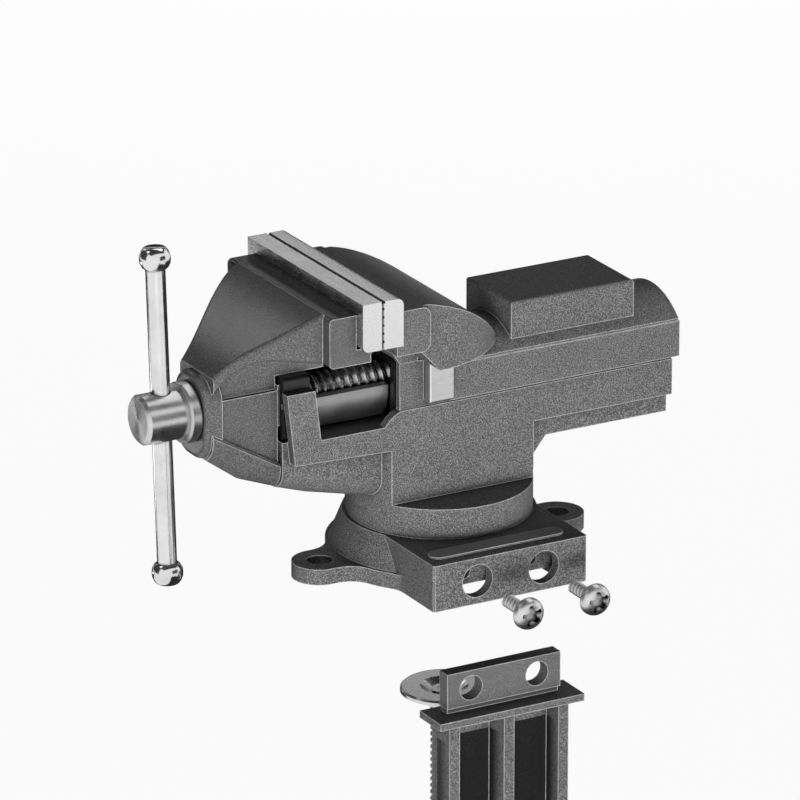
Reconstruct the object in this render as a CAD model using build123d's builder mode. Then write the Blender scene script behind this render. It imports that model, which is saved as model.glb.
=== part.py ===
import os
from math import cos, hypot, radians, sin, sqrt

from build123d import *

# Clamp-on swivel bench vise, in millimetres.
# X runs along the spindle with the handle at -X, -Y is the side of the table clamp, +Z is up.
# The origin is on the swivel axis, in the plane of the base's underside (the table top).
# The clamp bracket and its two screws are modelled taken off: below the base and in front of it.

os.makedirs("parts", exist_ok=True)

# ---------------------------------------------------------------- driving dimensions
# Running clearances
slide_clearance = 0.3
bore_clearance = 0.1
bolt_clearance = 0.25

# Height of the spindle's axis: the castings and the jaws are placed from it
spindle_height = 85.0

# Radius of the spindle's thread: the slide round it is placed from it
spindle_radius = 8.0

# Jaws
jaw_width = 100.0
jaw_plate_height = 21.0
jaw_plate_thickness = 9.6
jaw_plate_corner = 3.0
jaw_plate_bottom = spindle_height + 31.2
jaw_closing_x = -54.8
holder_width = 89.0
holder_bottom = jaw_plate_bottom - 6.6
holder_top = jaw_plate_bottom + 15.0
jaw_screw_spacing = 52.0
jaw_screw_radius = 2.5
jaw_screw_head_radius = 4.6
jaw_screw_length = 15.0

# Spindle and handle
spindle_tail_x = 56.0
spindle_head_radius = spindle_radius + 2.7
spindle_head_start = -143.2
spindle_head_end = -124.6
handle_x = -132.2
handle_tilt = 3.4
handle_radius = 4.2
handle_length = 146.0
knob_radius = 6.7
knob_height = 9.6
knob_seat = 6.0

# Moving jaw
boss_x = -119.0
boss_half_width = spindle_radius + 6.3
boss_depth = 8.0
boss_bottom = spindle_height - 18.0
boss_top = spindle_height + 17.0
neck_half_width = boss_half_width - 1.7
belly_half_width = boss_half_width + 0.9
neck_top = spindle_height + 6.7
wing_half_width = 39.0
plug_bottom = spindle_height - spindle_radius - 1.0

# Steel slide under the moving jaw
slide_half_width = spindle_radius + 8.2
slide_wall = 3.4
slide_top = spindle_height + spindle_radius + 4.6
slide_bottom = spindle_height - spindle_radius - 6.8
slide_front_x = -83.4
slide_rear_x = 95.0
slide_screw_x = -80.0
slide_screw_radius = 2.0
slide_screw_head_radius = 3.5
window_front_x = -71.0
window_rear_x = -31.0
window_slant = 3.0
window_bend = 6.6

# Fixed body
trough_floor = slide_bottom - 0.9
cheek_front_x = -84.0
cheek_half_width = slide_half_width + 4.4
cheek_bottom = spindle_height - 25.8
cheek_top = spindle_height + 6.6
cheek_slant = 3.6
column_reach = 34.4
column_foot = 4.0
column_corner = 5.0
belly_radius = 9.0
arm_top = spindle_height - 9.7
arm_end_x = 102.6
keel_half_width = 16.0
keel_bottom = spindle_height - 35.0
keel_front_bottom = spindle_height - 37.5
keel_column_bottom = spindle_height - 48.0
rail_half_width = cheek_half_width + 2.4
rail_bottom = spindle_height - 8.1
rail_top = spindle_height + 7.8
rail_front_x = -7.0
rail_end_x = 104.6
dome_edge = rail_top + 1.2
dome_top = slide_top + 6.0
wall_half_width = slide_half_width + 3.2
key_x = -12.6
key_height = spindle_height + 2.2
key_length = 11.8
key_depth = 18.2
key_reach = 8.6
spigot_radius = 5.0
spigot_length = 10.0
anvil_front_x = 24.0
anvil_rear_x = 84.0
anvil_half_width = wall_half_width - 0.4
anvil_top = dome_top + 10.0
turret_radius = 40.0
turret_height = 13.4
rear_beam_depth = 16.0
buttress_end_x = 15.0
buttress_end_half_width = 21.0

# Swivel base
base_height = 20.6
block_half_width = 37.0
block_reach = 61.0
flange_thickness = 7.0
flange_radius = 48.5
hub_foot_radius = 47.0
hub_top_radius = 41.5
lug_reach = 58.0
lug_radius = 11.8
lug_hole_radius = 5.5
base_ceiling = 6.0
base_wall = 5.0
swivel_bolt_radius = 6.0
swivel_bolt_head = 18.0
swivel_bolt_head_height = 7.0
washer_thickness = 2.5
washer_radius = 12.0
swivel_boss_radius = 15.0
swivel_boss_bottom = 11.6
swivel_thread_depth = 24.0

# Table clamp
clamp_drop = 50.0
tongue_width = 55.0
tongue_thickness = 6.6
tongue_height = 18.2
tongue_neck = 2.4
front_wall = 5.0
bracket_hole_spacing = 32.0
bracket_hole_height = 10.3
block_hole_radius = 7.2
tongue_hole_radius = 5.4
bracket_flange_width = 70.0
bracket_flange_depth = 18.0
bracket_flange_thickness = 3.2
spine_width = 58.0
spine_plate = 5.0
spine_rib = 5.0
spine_rib_depth = 10.0
throat_height = 70.0
arm_thickness = 11.0
arm_width = 34.0
clamp_axis_y = -5.0
clamp_boss_radius = 14.0
clamp_boss_drop = 8.0
clamp_screw_radius = 6.0
pad_radius = 19.0
pad_thickness = 4.0
pad_top_below_flange = 10.0
clamp_screw_length = 102.0
clamp_hub_radius = 8.0
clamp_hub_height = 16.0
clamp_bar_radius = 3.6
clamp_bar_length = 78.0
clamp_bar_end_radius = 5.4
clamp_bar_end_length = 7.0

# Mounting screws
screw_radius = 3.0
screw_length = 17.0
screw_head_radius = 6.9
screw_head_height = 5.4
screw_seat_gap = 0.1
screw_pull_out = 46.0

# ---------------------------------------------------------------- derived places
near = -1.0
front_plate_front_x = jaw_closing_x - jaw_plate_thickness
rear_plate_rear_x = jaw_closing_x + jaw_plate_thickness
holder_half_width = holder_width / 2
jaw_screw_height = jaw_plate_bottom + jaw_plate_height / 2 - 1.5
tongue_near_y = near * (block_reach - front_wall) + bore_clearance
tongue_far_y = tongue_near_y + tongue_thickness
slot_depth_z = base_height - 2.2
rib_bottom = 4.6
rib_thickness = 8.0


# ---------------------------------------------------------------- swivel base
with BuildPart() as swivel_base:
    # Flange with a lug on each side, blended to the round flange and the square block
    with BuildSketch() as foot_outline:
        Circle(flange_radius)
        Rectangle(2 * lug_reach, 2 * lug_radius)
        with Locations((-lug_reach, 0), (lug_reach, 0)):
            Circle(lug_radius)
        with Locations((0, -block_reach / 2)):
            Rectangle(2 * block_half_width, block_reach)
        waist = foot_outline.vertices().filter_by(lambda v: abs(hypot(v.X, v.Y) - flange_radius) < 0.01)
        fillet(waist, lug_radius)
    extrude(amount=flange_thickness)
    # Conical hub that carries the turret
    with BuildSketch(Plane.XY.offset(flange_thickness)):
        Circle(hub_foot_radius)
    with BuildSketch(Plane.XY.offset(base_height)):
        Circle(hub_top_radius)
    loft()
    # Square block at the table edge
    with BuildSketch():
        with Locations((0, -block_reach / 2)):
            Rectangle(2 * block_half_width, block_reach)
    extrude(amount=base_height)
    # Hollow underside, left open to the table
    with BuildSketch():
        Circle(hub_top_radius - base_wall)
    extrude(amount=base_height - base_ceiling, mode=Mode.SUBTRACT)
    # Slot for the bracket's tongue, with a tapped rib behind it that ends short of the table
    with BuildSketch():
        with Locations((0, (tongue_near_y + tongue_far_y) / 2)):
            Rectangle(tongue_width + 2 * slide_clearance, tongue_thickness + 2 * bore_clearance)
    extrude(amount=slot_depth_z, mode=Mode.SUBTRACT)
    with BuildSketch():
        with Locations((0, (tongue_far_y + near * flange_radius / 2) / 2)):
            Rectangle(tongue_width + 2 * slide_clearance, abs(tongue_far_y + flange_radius / 2))
    extrude(amount=rib_bottom, mode=Mode.SUBTRACT)
    # Boss of the swivel bolt
    with BuildSketch(Plane.XY.offset(swivel_boss_bottom)):
        Circle(swivel_boss_radius)
    extrude(until=Until.NEXT)
    with Locations((0, 0, base_height)):
        Hole(swivel_bolt_radius + bolt_clearance)
    # Lug holes
    with Locations((-lug_reach, 0, flange_thickness), (lug_reach, 0, flange_thickness)):
        Hole(lug_hole_radius, depth=flange_thickness)
    # Raised strip on the block, over the slot
    with BuildSketch(Plane.XY.offset(base_height)):
        with Locations((-1.5, -block_reach + 10)):
            SlotOverall(64, 8.6)
    extrude(amount=0.9)
    # Screw holes: wide through the front wall for the heads, tapped through the rib
    with BuildSketch(Plane.XZ.offset(block_reach)):
        with Locations((0, bracket_hole_height)):
            with GridLocations(bracket_hole_spacing, 0, 2, 1):
                Circle(block_hole_radius)
    extrude(amount=-front_wall - 1, mode=Mode.SUBTRACT)
    with BuildSketch(Plane.XZ.offset(block_reach)):
        with Locations((0, bracket_hole_height)):
            with GridLocations(bracket_hole_spacing, 0, 2, 1):
                Circle(screw_radius + bore_clearance)
    extrude(amount=-(front_wall + tongue_thickness + rib_thickness + 6), mode=Mode.SUBTRACT)
    block_edges = swivel_base.edges().filter_by(Axis.Z).group_by(Axis.Y)[0]
    chamfer(block_edges, 0.8)
swivel_base.part.label = "swivel_base"
export_step(swivel_base.part, "parts/swivel_base.step")

with BuildPart() as swivel_washer:
    with BuildSketch(Plane.XY.offset(swivel_boss_bottom - washer_thickness)):
        Circle(washer_radius)
        Circle(swivel_bolt_radius + bolt_clearance, mode=Mode.SUBTRACT)
    extrude(amount=washer_thickness)
    chamfer(swivel_washer.edges().group_by(Axis.Z)[0], 0.4)
swivel_washer.part.label = "swivel_washer"
export_step(swivel_washer.part, "parts/swivel_washer.step")

# Swivel bolt: hex head under the base, threaded into the turret
bolt_head_top = swivel_boss_bottom - washer_thickness
with BuildPart() as swivel_bolt:
    with BuildSketch(Plane.XY.offset(bolt_head_top - swivel_bolt_head_height)):
        RegularPolygon(swivel_bolt_head / 2, 6, major_radius=False)
    extrude(amount=swivel_bolt_head_height)
    with BuildSketch(Plane.XY.offset(bolt_head_top)):
        Circle(swivel_bolt_radius)
    extrude(amount=base_height + swivel_thread_depth - 2 - bolt_head_top)
    chamfer(swivel_bolt.edges().group_by(Axis.Z)[-1], 1)
swivel_bolt.part.label = "swivel_bolt"
export_step(swivel_bolt.part, "parts/swivel_bolt.step")


# ---------------------------------------------------------------- fixed body
turret_top = base_height + turret_height
column_half_width = cheek_half_width
slot_half_width = slide_half_width + slide_clearance
slot_top = slide_top + slide_clearance
beam_front_x = rear_plate_rear_x
beam_rear_x = beam_front_x + rear_beam_depth

# The buttress stands back from the beam's ends
buttress_half_width = holder_half_width - 2.6

# Buttress that narrows from the jaw beam to the dome, curved in both views
with BuildPart() as buttress:
    with BuildSketch(Plane.XZ):
        with BuildLine():
            Line((beam_rear_x - 4, holder_bottom), (beam_rear_x - 4, holder_top - 2))
            Line((beam_rear_x - 4, holder_top - 2), (beam_rear_x, holder_top - 2))
            ThreePointArc(
                (beam_rear_x, holder_top - 2),
                (beam_rear_x + 24, (holder_top + dome_top) / 2 + 2.2),
                (buttress_end_x, dome_top - 2),
            )
            Line((buttress_end_x, dome_top - 2), (buttress_end_x, slot_top + 1))
            Line((buttress_end_x, slot_top + 1), (beam_rear_x + 6, slot_top + 1))
            Line((beam_rear_x + 6, slot_top + 1), (beam_rear_x - 4, holder_bottom))
        make_face()
    extrude(amount=buttress_half_width, both=True)
    with BuildSketch(Plane.XY.offset(slot_top)) as buttress_plan:
        with BuildLine():
            Line((beam_rear_x - 4, -buttress_half_width), (beam_rear_x - 4, buttress_half_width))
            Line((beam_rear_x - 4, buttress_half_width), (beam_rear_x, buttress_half_width))
            ThreePointArc(
                (beam_rear_x, buttress_half_width),
                (beam_rear_x + 24, (buttress_half_width + buttress_end_half_width) / 2 + 6),
                (buttress_end_x, buttress_end_half_width),
            )
            Line((buttress_end_x, buttress_end_half_width), (buttress_end_x, -buttress_end_half_width))
            ThreePointArc(
                (buttress_end_x, -buttress_end_half_width),
                (beam_rear_x + 24, -(buttress_half_width + buttress_end_half_width) / 2 - 6),
                (beam_rear_x, -buttress_half_width),
            )
            Line((beam_rear_x, -buttress_half_width), (beam_rear_x - 4, -buttress_half_width))
        make_face()
    extrude(amount=holder_top, mode=Mode.INTERSECT)

with BuildPart() as vise_body:
    # Turret disc and the column cut flat on both sides
    with BuildSketch(Plane.XY.offset(base_height)):
        Circle(turret_radius)
    extrude(amount=turret_height)
    with BuildSketch(Plane.XY.offset(turret_top)):
        Circle(turret_radius)
        Rectangle(2 * turret_radius, 2 * column_half_width, mode=Mode.INTERSECT)
    extrude(amount=arm_top - turret_top)
    # Keel under the arms
    with BuildSketch(Plane.XZ) as keel_profile:
        with BuildLine():
            Polyline(
                (cheek_front_x, cheek_top),
                (cheek_front_x, keel_front_bottom),
                (cheek_front_x + 14, keel_front_bottom - 4.6),
                (-turret_radius - 6, keel_column_bottom),
                (-turret_radius + 12, turret_top),
                (turret_radius - 10, turret_top),
                (turret_radius + 3, keel_bottom),
                (arm_end_x, keel_bottom),
                (arm_end_x, cheek_bottom + 4),
                (rail_front_x, cheek_top),
                (cheek_front_x, cheek_top),
            )
        make_face()
        fillet(keel_profile.vertices().group_by(Axis.Y)[1], 6)
    extrude(amount=keel_half_width, both=True)
    low_edges = vise_body.edges().filter_by(lambda e: e.center().Z < keel_front_bottom)
    belly = low_edges.filter_by(lambda e: e.center().X < -turret_radius)
    fillet(belly.filter_by(lambda e: abs(abs(e.center().Y) - keel_half_width) < 0.01), belly_radius)
    # T-shaped cheeks, from the tongue at the front to the end of the arm
    with BuildSketch(Plane.XZ) as cheek_profile:
        with BuildLine():
            Polyline(
                (cheek_front_x, cheek_top),
                (cheek_front_x + cheek_slant, cheek_bottom + 0.6),
                (-column_reach, cheek_bottom - 1),
                (-column_reach, turret_top + column_foot),
                (column_reach, turret_top + column_foot),
                (column_reach, cheek_bottom),
                (arm_end_x, cheek_bottom),
                (arm_end_x, arm_top),
                (window_rear_x + 1, arm_top),
                (window_rear_x + 1, cheek_top),
                (cheek_front_x, cheek_top),
            )
        make_face()
        column_corners = cheek_profile.vertices().filter_by(lambda v: abs(abs(v.X) - column_reach) < 0.01)
        fillet(column_corners.filter_by(lambda v: v.Z > (turret_top + cheek_bottom) / 2), column_corner)
    extrude(amount=cheek_half_width, both=True)
    # Plain wall behind the jaws, then the wider rail
    with BuildSketch(Plane.YZ.offset(window_rear_x + 1)):
        with Locations((0, (arm_top + rail_top) / 2 + 1)):
            Rectangle(2 * wall_half_width, rail_top - arm_top + 4)
    extrude(amount=arm_end_x - window_rear_x - 1)
    with BuildSketch(Plane.YZ.offset(rail_front_x)):
        with Locations((0, (rail_bottom + rail_top) / 2)):
            Rectangle(2 * rail_half_width, rail_top - rail_bottom)
    extrude(amount=rail_end_x - rail_front_x)
    # Domed top of the arm
    with BuildSketch(Plane.YZ.offset(window_rear_x + 1)):
        with BuildLine():
            ThreePointArc((-wall_half_width, dome_edge), (0, dome_top), (wall_half_width, dome_edge))
            Polyline(
                (wall_half_width, dome_edge),
                (wall_half_width, dome_edge - 4),
                (-wall_half_width, dome_edge - 4),
                (-wall_half_width, dome_edge),
            )
        make_face()
    extrude(amount=rail_front_x - window_rear_x - 1)
    with BuildSketch(Plane.YZ.offset(rail_front_x)):
        with BuildLine():
            ThreePointArc((-rail_half_width, dome_edge), (0, dome_top), (rail_half_width, dome_edge))
            Polyline(
                (rail_half_width, dome_edge),
                (rail_half_width - 0.8, rail_top - 1),
                (-rail_half_width + 0.8, rail_top - 1),
                (-rail_half_width, dome_edge),
            )
        make_face()
    extrude(amount=rail_end_x - rail_front_x - 0.6)
    # Anvil
    with BuildSketch(Plane.XY.offset(dome_edge)):
        with Locations(((anvil_front_x + anvil_rear_x) / 2, 0)):
            Rectangle(anvil_rear_x - anvil_front_x, 2 * anvil_half_width)
    extrude(amount=anvil_top - dome_edge)
    fillet(vise_body.edges().group_by(Axis.Z)[-1], 1.2)
    # Rear jaw beam on its buttress
    add(buttress.part)
    with BuildSketch(Plane.XZ) as beam_profile:
        with Locations(((beam_front_x + beam_rear_x) / 2, (holder_bottom + holder_top) / 2 - 1)):
            Rectangle(rear_beam_depth, holder_top - holder_bottom - 2)
        fillet(beam_profile.vertices().group_by(Axis.X)[-1], 4)
    extrude(amount=holder_half_width, both=True)
    with BuildSketch(Plane.XZ):
        with BuildLine():
            Polyline(
                (beam_front_x, holder_bottom + 6),
                (beam_rear_x + 8, holder_bottom + 6),
                (beam_rear_x + 8, slot_top - 2),
                (window_rear_x + 1, slot_top - 2),
                (beam_front_x + 6, holder_bottom),
                (beam_front_x, holder_bottom),
                close=True,
            )
        make_face()
    extrude(amount=wall_half_width, both=True)
    # Passage of the slide, open at the front and at the rear
    with BuildSketch(Plane.YZ.offset(cheek_front_x - 1)):
        with Locations((0, (trough_floor + slot_top) / 2)):
            Rectangle(2 * slot_half_width, slot_top - trough_floor)
    extrude(amount=rail_end_x - cheek_front_x + 2, mode=Mode.SUBTRACT)
    # Window in the near cheek
    with BuildSketch(Plane.XZ) as window_profile:
        with BuildLine():
            Polyline(
                (window_front_x, cheek_top + 2),
                (window_front_x + window_slant, trough_floor),
                (window_rear_x - window_bend, trough_floor),
            )
            ThreePointArc(
                (window_rear_x - window_bend, trough_floor),
                (window_rear_x - window_bend / 2, trough_floor + 3.6),
                (window_rear_x + 1, arm_top),
            )
            Polyline(
                (window_rear_x + 1, arm_top),
                (window_rear_x + 1, cheek_top + 2),
                (window_front_x, cheek_top + 2),
            )
        make_face()
    extrude(amount=cheek_half_width + 1, mode=Mode.SUBTRACT)
    # Through slots of the guide keys
    with BuildSketch(Plane.XZ):
        with Locations((key_x, key_height)):
            Rectangle(key_length, key_depth)
    extrude(amount=slot_half_width + 8, both=True, mode=Mode.SUBTRACT)
    # Seat of the nut's spigot
    with Locations(((window_front_x + window_rear_x) / 2 + 3, 0, trough_floor)):
        Hole(spigot_radius + bore_clearance / 2, depth=spigot_length + 2)
    # Threaded seat of the swivel bolt
    with BuildSketch(Plane.XY.offset(base_height)):
        Circle(swivel_bolt_radius + 0.05)
    extrude(amount=swivel_thread_depth, mode=Mode.SUBTRACT)
    # Tapped holes of the jaw plate screws
    with BuildSketch(Plane.YZ.offset(beam_front_x)):
        with Locations((0, jaw_screw_height)):
            with GridLocations(jaw_screw_spacing, 0, 2, 1):
                Circle(jaw_screw_radius + 0.05)
    extrude(amount=jaw_screw_length - jaw_plate_thickness + 4, mode=Mode.SUBTRACT)
vise_body.part.label = "vise_body"
export_step(vise_body.part, "parts/vise_body.step")

# Half nut: a cradle with its spigot in the trough floor
nut_front_x = -66.0
nut_rear_x = window_rear_x - 0.6
nut_half_width = slide_half_width - slide_wall - 0.4
nut_foot_half_width = 6.5
spigot_x = (window_front_x + window_rear_x) / 2 + 3
with BuildPart() as half_nut:
    with BuildSketch(Plane.YZ.offset(nut_front_x)):
        with BuildLine():
            Line((-nut_foot_half_width, trough_floor), (nut_foot_half_width, trough_floor))
            ThreePointArc(
                (nut_foot_half_width, trough_floor),
                (nut_half_width - 1.3, trough_floor + 6.2),
                (nut_half_width, spindle_height - 2),
            )
            Polyline(
                (nut_half_width, spindle_height - 2),
                (nut_half_width, spindle_height),
                (-nut_half_width, spindle_height),
                (-nut_half_width, spindle_height - 2),
            )
            ThreePointArc(
                (-nut_half_width, spindle_height - 2),
                (-nut_half_width + 1.3, trough_floor + 6.2),
                (-nut_foot_half_width, trough_floor),
            )
        make_face()
        with Locations((0, spindle_height)):
            Circle(spindle_radius + bore_clearance, mode=Mode.SUBTRACT)
    extrude(amount=nut_rear_x - nut_front_x)
    with BuildSketch(Plane.XY.offset(trough_floor)):
        with Locations((spigot_x, 0)):
            Circle(spigot_radius)
    extrude(amount=-spigot_length)
half_nut.part.label = "half_nut"
export_step(half_nut.part, "parts/half_nut.step")

# Guide keys: one on each side, through the wall behind the jaws, bearing on the slide
with BuildPart() as guide_keys:
    with BuildSketch(Plane.XZ.offset(slot_half_width)):
        with Locations((key_x, key_height)):
            Rectangle(key_length - 2 * bore_clearance, key_depth - 2 * bore_clearance)
    extrude(amount=key_reach)
    chamfer(guide_keys.edges().group_by(Axis.Y)[0], 0.5)
    mirror(about=Plane.XZ)
guide_keys.part.label = "guide_keys"
export_step(guide_keys.part, "parts/guide_keys.step")

# ---------------------------------------------------------------- jaw plates and their screws
groove_pitch = 3.5
groove_depth = 0.6
counterbore_depth = 5.2


def jaw_plate(front_x, back_x):
    """A hardened plate that grips at front_x and lies on its holder at back_x."""
    middle = (front_x + back_x) / 2
    side = 1 if back_x > front_x else -1
    with BuildPart() as plate:
        with BuildSketch(Plane.XZ) as profile:
            with Locations((middle, jaw_plate_bottom + jaw_plate_height / 2)):
                Rectangle(abs(back_x - front_x), jaw_plate_height)
            corners = profile.vertices().filter_by(lambda v: abs(v.X - back_x) < 0.01)
            fillet(corners.sort_by(Axis.Z)[0:1], jaw_plate_corner)
            with Locations((front_x, jaw_plate_bottom + jaw_plate_height / 2)):
                with GridLocations(0, groove_pitch, 1, 5):
                    Rectangle(2 * groove_depth / sqrt(2), 2 * groove_depth / sqrt(2), 45, mode=Mode.SUBTRACT)
        extrude(amount=jaw_width / 2, both=True)
        with BuildSketch(Plane.YZ.offset(front_x)):
            with Locations((0, jaw_screw_height)):
                with GridLocations(jaw_screw_spacing, 0, 2, 1):
                    Circle(jaw_screw_head_radius + bore_clearance)
        extrude(amount=side * counterbore_depth, mode=Mode.SUBTRACT)
        with BuildSketch(Plane.YZ.offset(front_x)):
            with Locations((0, jaw_screw_height)):
                with GridLocations(jaw_screw_spacing, 0, 2, 1):
                    Circle(jaw_screw_radius + bolt_clearance)
        extrude(amount=side * (jaw_plate_thickness + 1), mode=Mode.SUBTRACT)
    return plate


def jaw_screws(front_x, side):
    """Two cap screws whose heads lie in the plate's counterbores; side is +1 where they point to +X."""
    with BuildPart() as screws:
        with BuildSketch(Plane.YZ.offset(front_x + side * counterbore_depth)):
            with Locations((0, jaw_screw_height)):
                with GridLocations(jaw_screw_spacing, 0, 2, 1):
                    Circle(jaw_screw_head_radius)
                    RegularPolygon(2.3, 6, mode=Mode.SUBTRACT)
        extrude(amount=-side * 4.4)
        with BuildSketch(Plane.YZ.offset(front_x + side * (counterbore_depth - 1.6))):
            with Locations((0, jaw_screw_height)):
                with GridLocations(jaw_screw_spacing, 0, 2, 1):
                    Circle(jaw_screw_head_radius)
        extrude(amount=side * 1.6)
        with BuildSketch(Plane.YZ.offset(front_x + side * counterbore_depth)):
            with Locations((0, jaw_screw_height)):
                with GridLocations(jaw_screw_spacing, 0, 2, 1):
                    Circle(jaw_screw_radius)
        extrude(amount=side * (jaw_screw_length - counterbore_depth))
    return screws


closing_gap = 0.15
rear_jaw_plate = jaw_plate(jaw_closing_x + closing_gap, rear_plate_rear_x)
rear_jaw_plate.part.label = "rear_jaw_plate"
export_step(rear_jaw_plate.part, "parts/rear_jaw_plate.step")

front_jaw_plate = jaw_plate(jaw_closing_x, front_plate_front_x)
front_jaw_plate.part.label = "front_jaw_plate"
export_step(front_jaw_plate.part, "parts/front_jaw_plate.step")

rear_jaw_screws = jaw_screws(jaw_closing_x + closing_gap, 1)
rear_jaw_screws.part.label = "rear_jaw_screws"
export_step(rear_jaw_screws.part, "parts/rear_jaw_screws.step")

front_jaw_screws = jaw_screws(jaw_closing_x, -1)
front_jaw_screws.part.label = "front_jaw_screws"
export_step(front_jaw_screws.part, "parts/front_jaw_screws.step")

# ---------------------------------------------------------------- moving jaw
neck_rear_x = cheek_front_x - 0.4
plug_end_x = -76.0
plug_width = 2 * (slide_half_width - slide_wall - bore_clearance)
ledge_x = -57.6
holder_front_x = -77.0

# Sections of the hood: place, half width, underside, top and corner
hood_sections = (
    (boss_x + 3.6, boss_half_width + 0.6, boss_top - 6.5, boss_top + 0.6, 2.0),
    (boss_x + 13, boss_half_width + 5.4, boss_top + 4, boss_top + 9.6, 2.4),
    (boss_x + 22, wing_half_width - 12.2, boss_top + 8.6, holder_top - 12.6, 2.4),
    (boss_x + 31, wing_half_width - 5.6, holder_bottom + 1.4, holder_top - 6.2, 2.4),
    (holder_front_x + 1, wing_half_width, holder_bottom + 0.4, holder_top + 0.6, 2.4),
)

# Belly below the neck: proud of its sides, rounded below, with a narrow crest
with BuildPart() as belly_roll:
    with BuildSketch(Plane.XZ):
        with BuildLine():
            Polyline(
                (boss_x + 3, spindle_height - 7),
                (boss_x + 3, boss_bottom - 2),
                (boss_x + 18, keel_front_bottom + 6.6),
                (neck_rear_x, keel_front_bottom + 0.2),
                (neck_rear_x, cheek_bottom + 0.4),
                close=True,
            )
        make_face()
    extrude(amount=belly_half_width, both=True)
    sides = belly_roll.edges().filter_by(lambda e: abs(abs(e.center().Y) - belly_half_width) < 0.01)
    along = sides.filter_by(lambda e: abs(e.bounding_box().size.X) > 2)
    fillet(along.filter_by(lambda e: e.center().Z < spindle_height - 25), belly_radius)
    crest = belly_roll.edges().filter_by(lambda e: abs(abs(e.center().Y) - belly_half_width) < 0.01)
    upper_crest = crest.filter_by(lambda e: e.center().Z > spindle_height - 22)
    chamfer(upper_crest.filter_by(lambda e: abs(e.bounding_box().size.X) > 2), 0.9)

with BuildPart() as front_jaw:
    # Flared hood that widens from the boss to the jaw
    for x, half_width, low, high, corner in hood_sections:
        with BuildSketch(Plane.YZ.offset(x)):
            with Locations((0, (low + high) / 2)):
                RectangleRounded(2 * half_width, high - low, corner)
    loft()
    # Jaw holder with a ledge under its plate
    with BuildSketch(Plane.XZ) as holder_profile:
        with BuildLine():
            Polyline(
                (holder_front_x, holder_bottom),
                (ledge_x, holder_bottom),
                (ledge_x, jaw_plate_bottom - 0.1),
                (front_plate_front_x, jaw_plate_bottom - 0.1),
                (front_plate_front_x, holder_top),
                (holder_front_x, holder_top),
                close=True,
            )
        make_face()
        rounded = holder_profile.vertices().sort_by(lambda v: v.X + 0.01 * v.Z)
        fillet(rounded[0:2], 2)
    extrude(amount=holder_half_width, both=True)
    # Web between the hood and the neck
    with BuildSketch(Plane.XZ):
        with BuildLine():
            Polyline(
                (boss_x + 5, neck_top - 6),
                (boss_x + 5, boss_top - 4),
                (boss_x + 20, holder_bottom + 4.4),
                (ledge_x - 4, holder_bottom + 4.4),
                (ledge_x - 4, slide_top),
                (neck_rear_x, slide_top),
                (neck_rear_x, neck_top - 6),
                close=True,
            )
        make_face()
    extrude(amount=neck_half_width - 2, both=True)
    # Neck, flat on both sides
    with BuildSketch(Plane.XZ):
        with BuildLine():
            Polyline(
                (boss_x + 6, neck_top),
                (boss_x + 6, boss_bottom),
                (neck_rear_x, keel_front_bottom + 6),
                (neck_rear_x, neck_top),
                close=True,
            )
        make_face()
    extrude(amount=neck_half_width, both=True)
    add(belly_roll.part)
    # Boss around the spindle
    with BuildSketch(Plane.YZ.offset(boss_x)):
        with Locations((0, (boss_bottom + boss_top) / 2 - 1)):
            RectangleRounded(2 * boss_half_width, boss_top - boss_bottom + 2, 12)
    extrude(amount=boss_depth)
    fillet(front_jaw.faces().sort_by(Axis.X)[0].edges(), 2.4)
    # Plug that enters the slide
    with BuildSketch(Plane.YZ.offset(neck_rear_x)):
        with Locations((0, (plug_bottom + slide_top - slide_wall - bore_clearance) / 2)):
            Rectangle(plug_width, slide_top - slide_wall - bore_clearance - plug_bottom)
    extrude(amount=plug_end_x - neck_rear_x)
    # Spindle bore
    with BuildSketch(Plane.YZ.offset(boss_x - 1)):
        with Locations((0, spindle_height)):
            Circle(spindle_radius + bore_clearance)
    extrude(amount=plug_end_x - boss_x + 2, mode=Mode.SUBTRACT)
    # Tapped holes of the jaw plate screws and of the slide screws
    with BuildSketch(Plane.YZ.offset(front_plate_front_x)):
        with Locations((0, jaw_screw_height)):
            with GridLocations(jaw_screw_spacing, 0, 2, 1):
                Circle(jaw_screw_radius + 0.05)
    extrude(amount=-(jaw_screw_length - jaw_plate_thickness + 4), mode=Mode.SUBTRACT)
    with BuildSketch(Plane.XZ):
        with Locations((slide_screw_x, spindle_height)):
            Circle(slide_screw_radius + 0.05)
    extrude(amount=slide_half_width, both=True, mode=Mode.SUBTRACT)
front_jaw.part.label = "front_jaw"
export_step(front_jaw.part, "parts/front_jaw.step")

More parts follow.
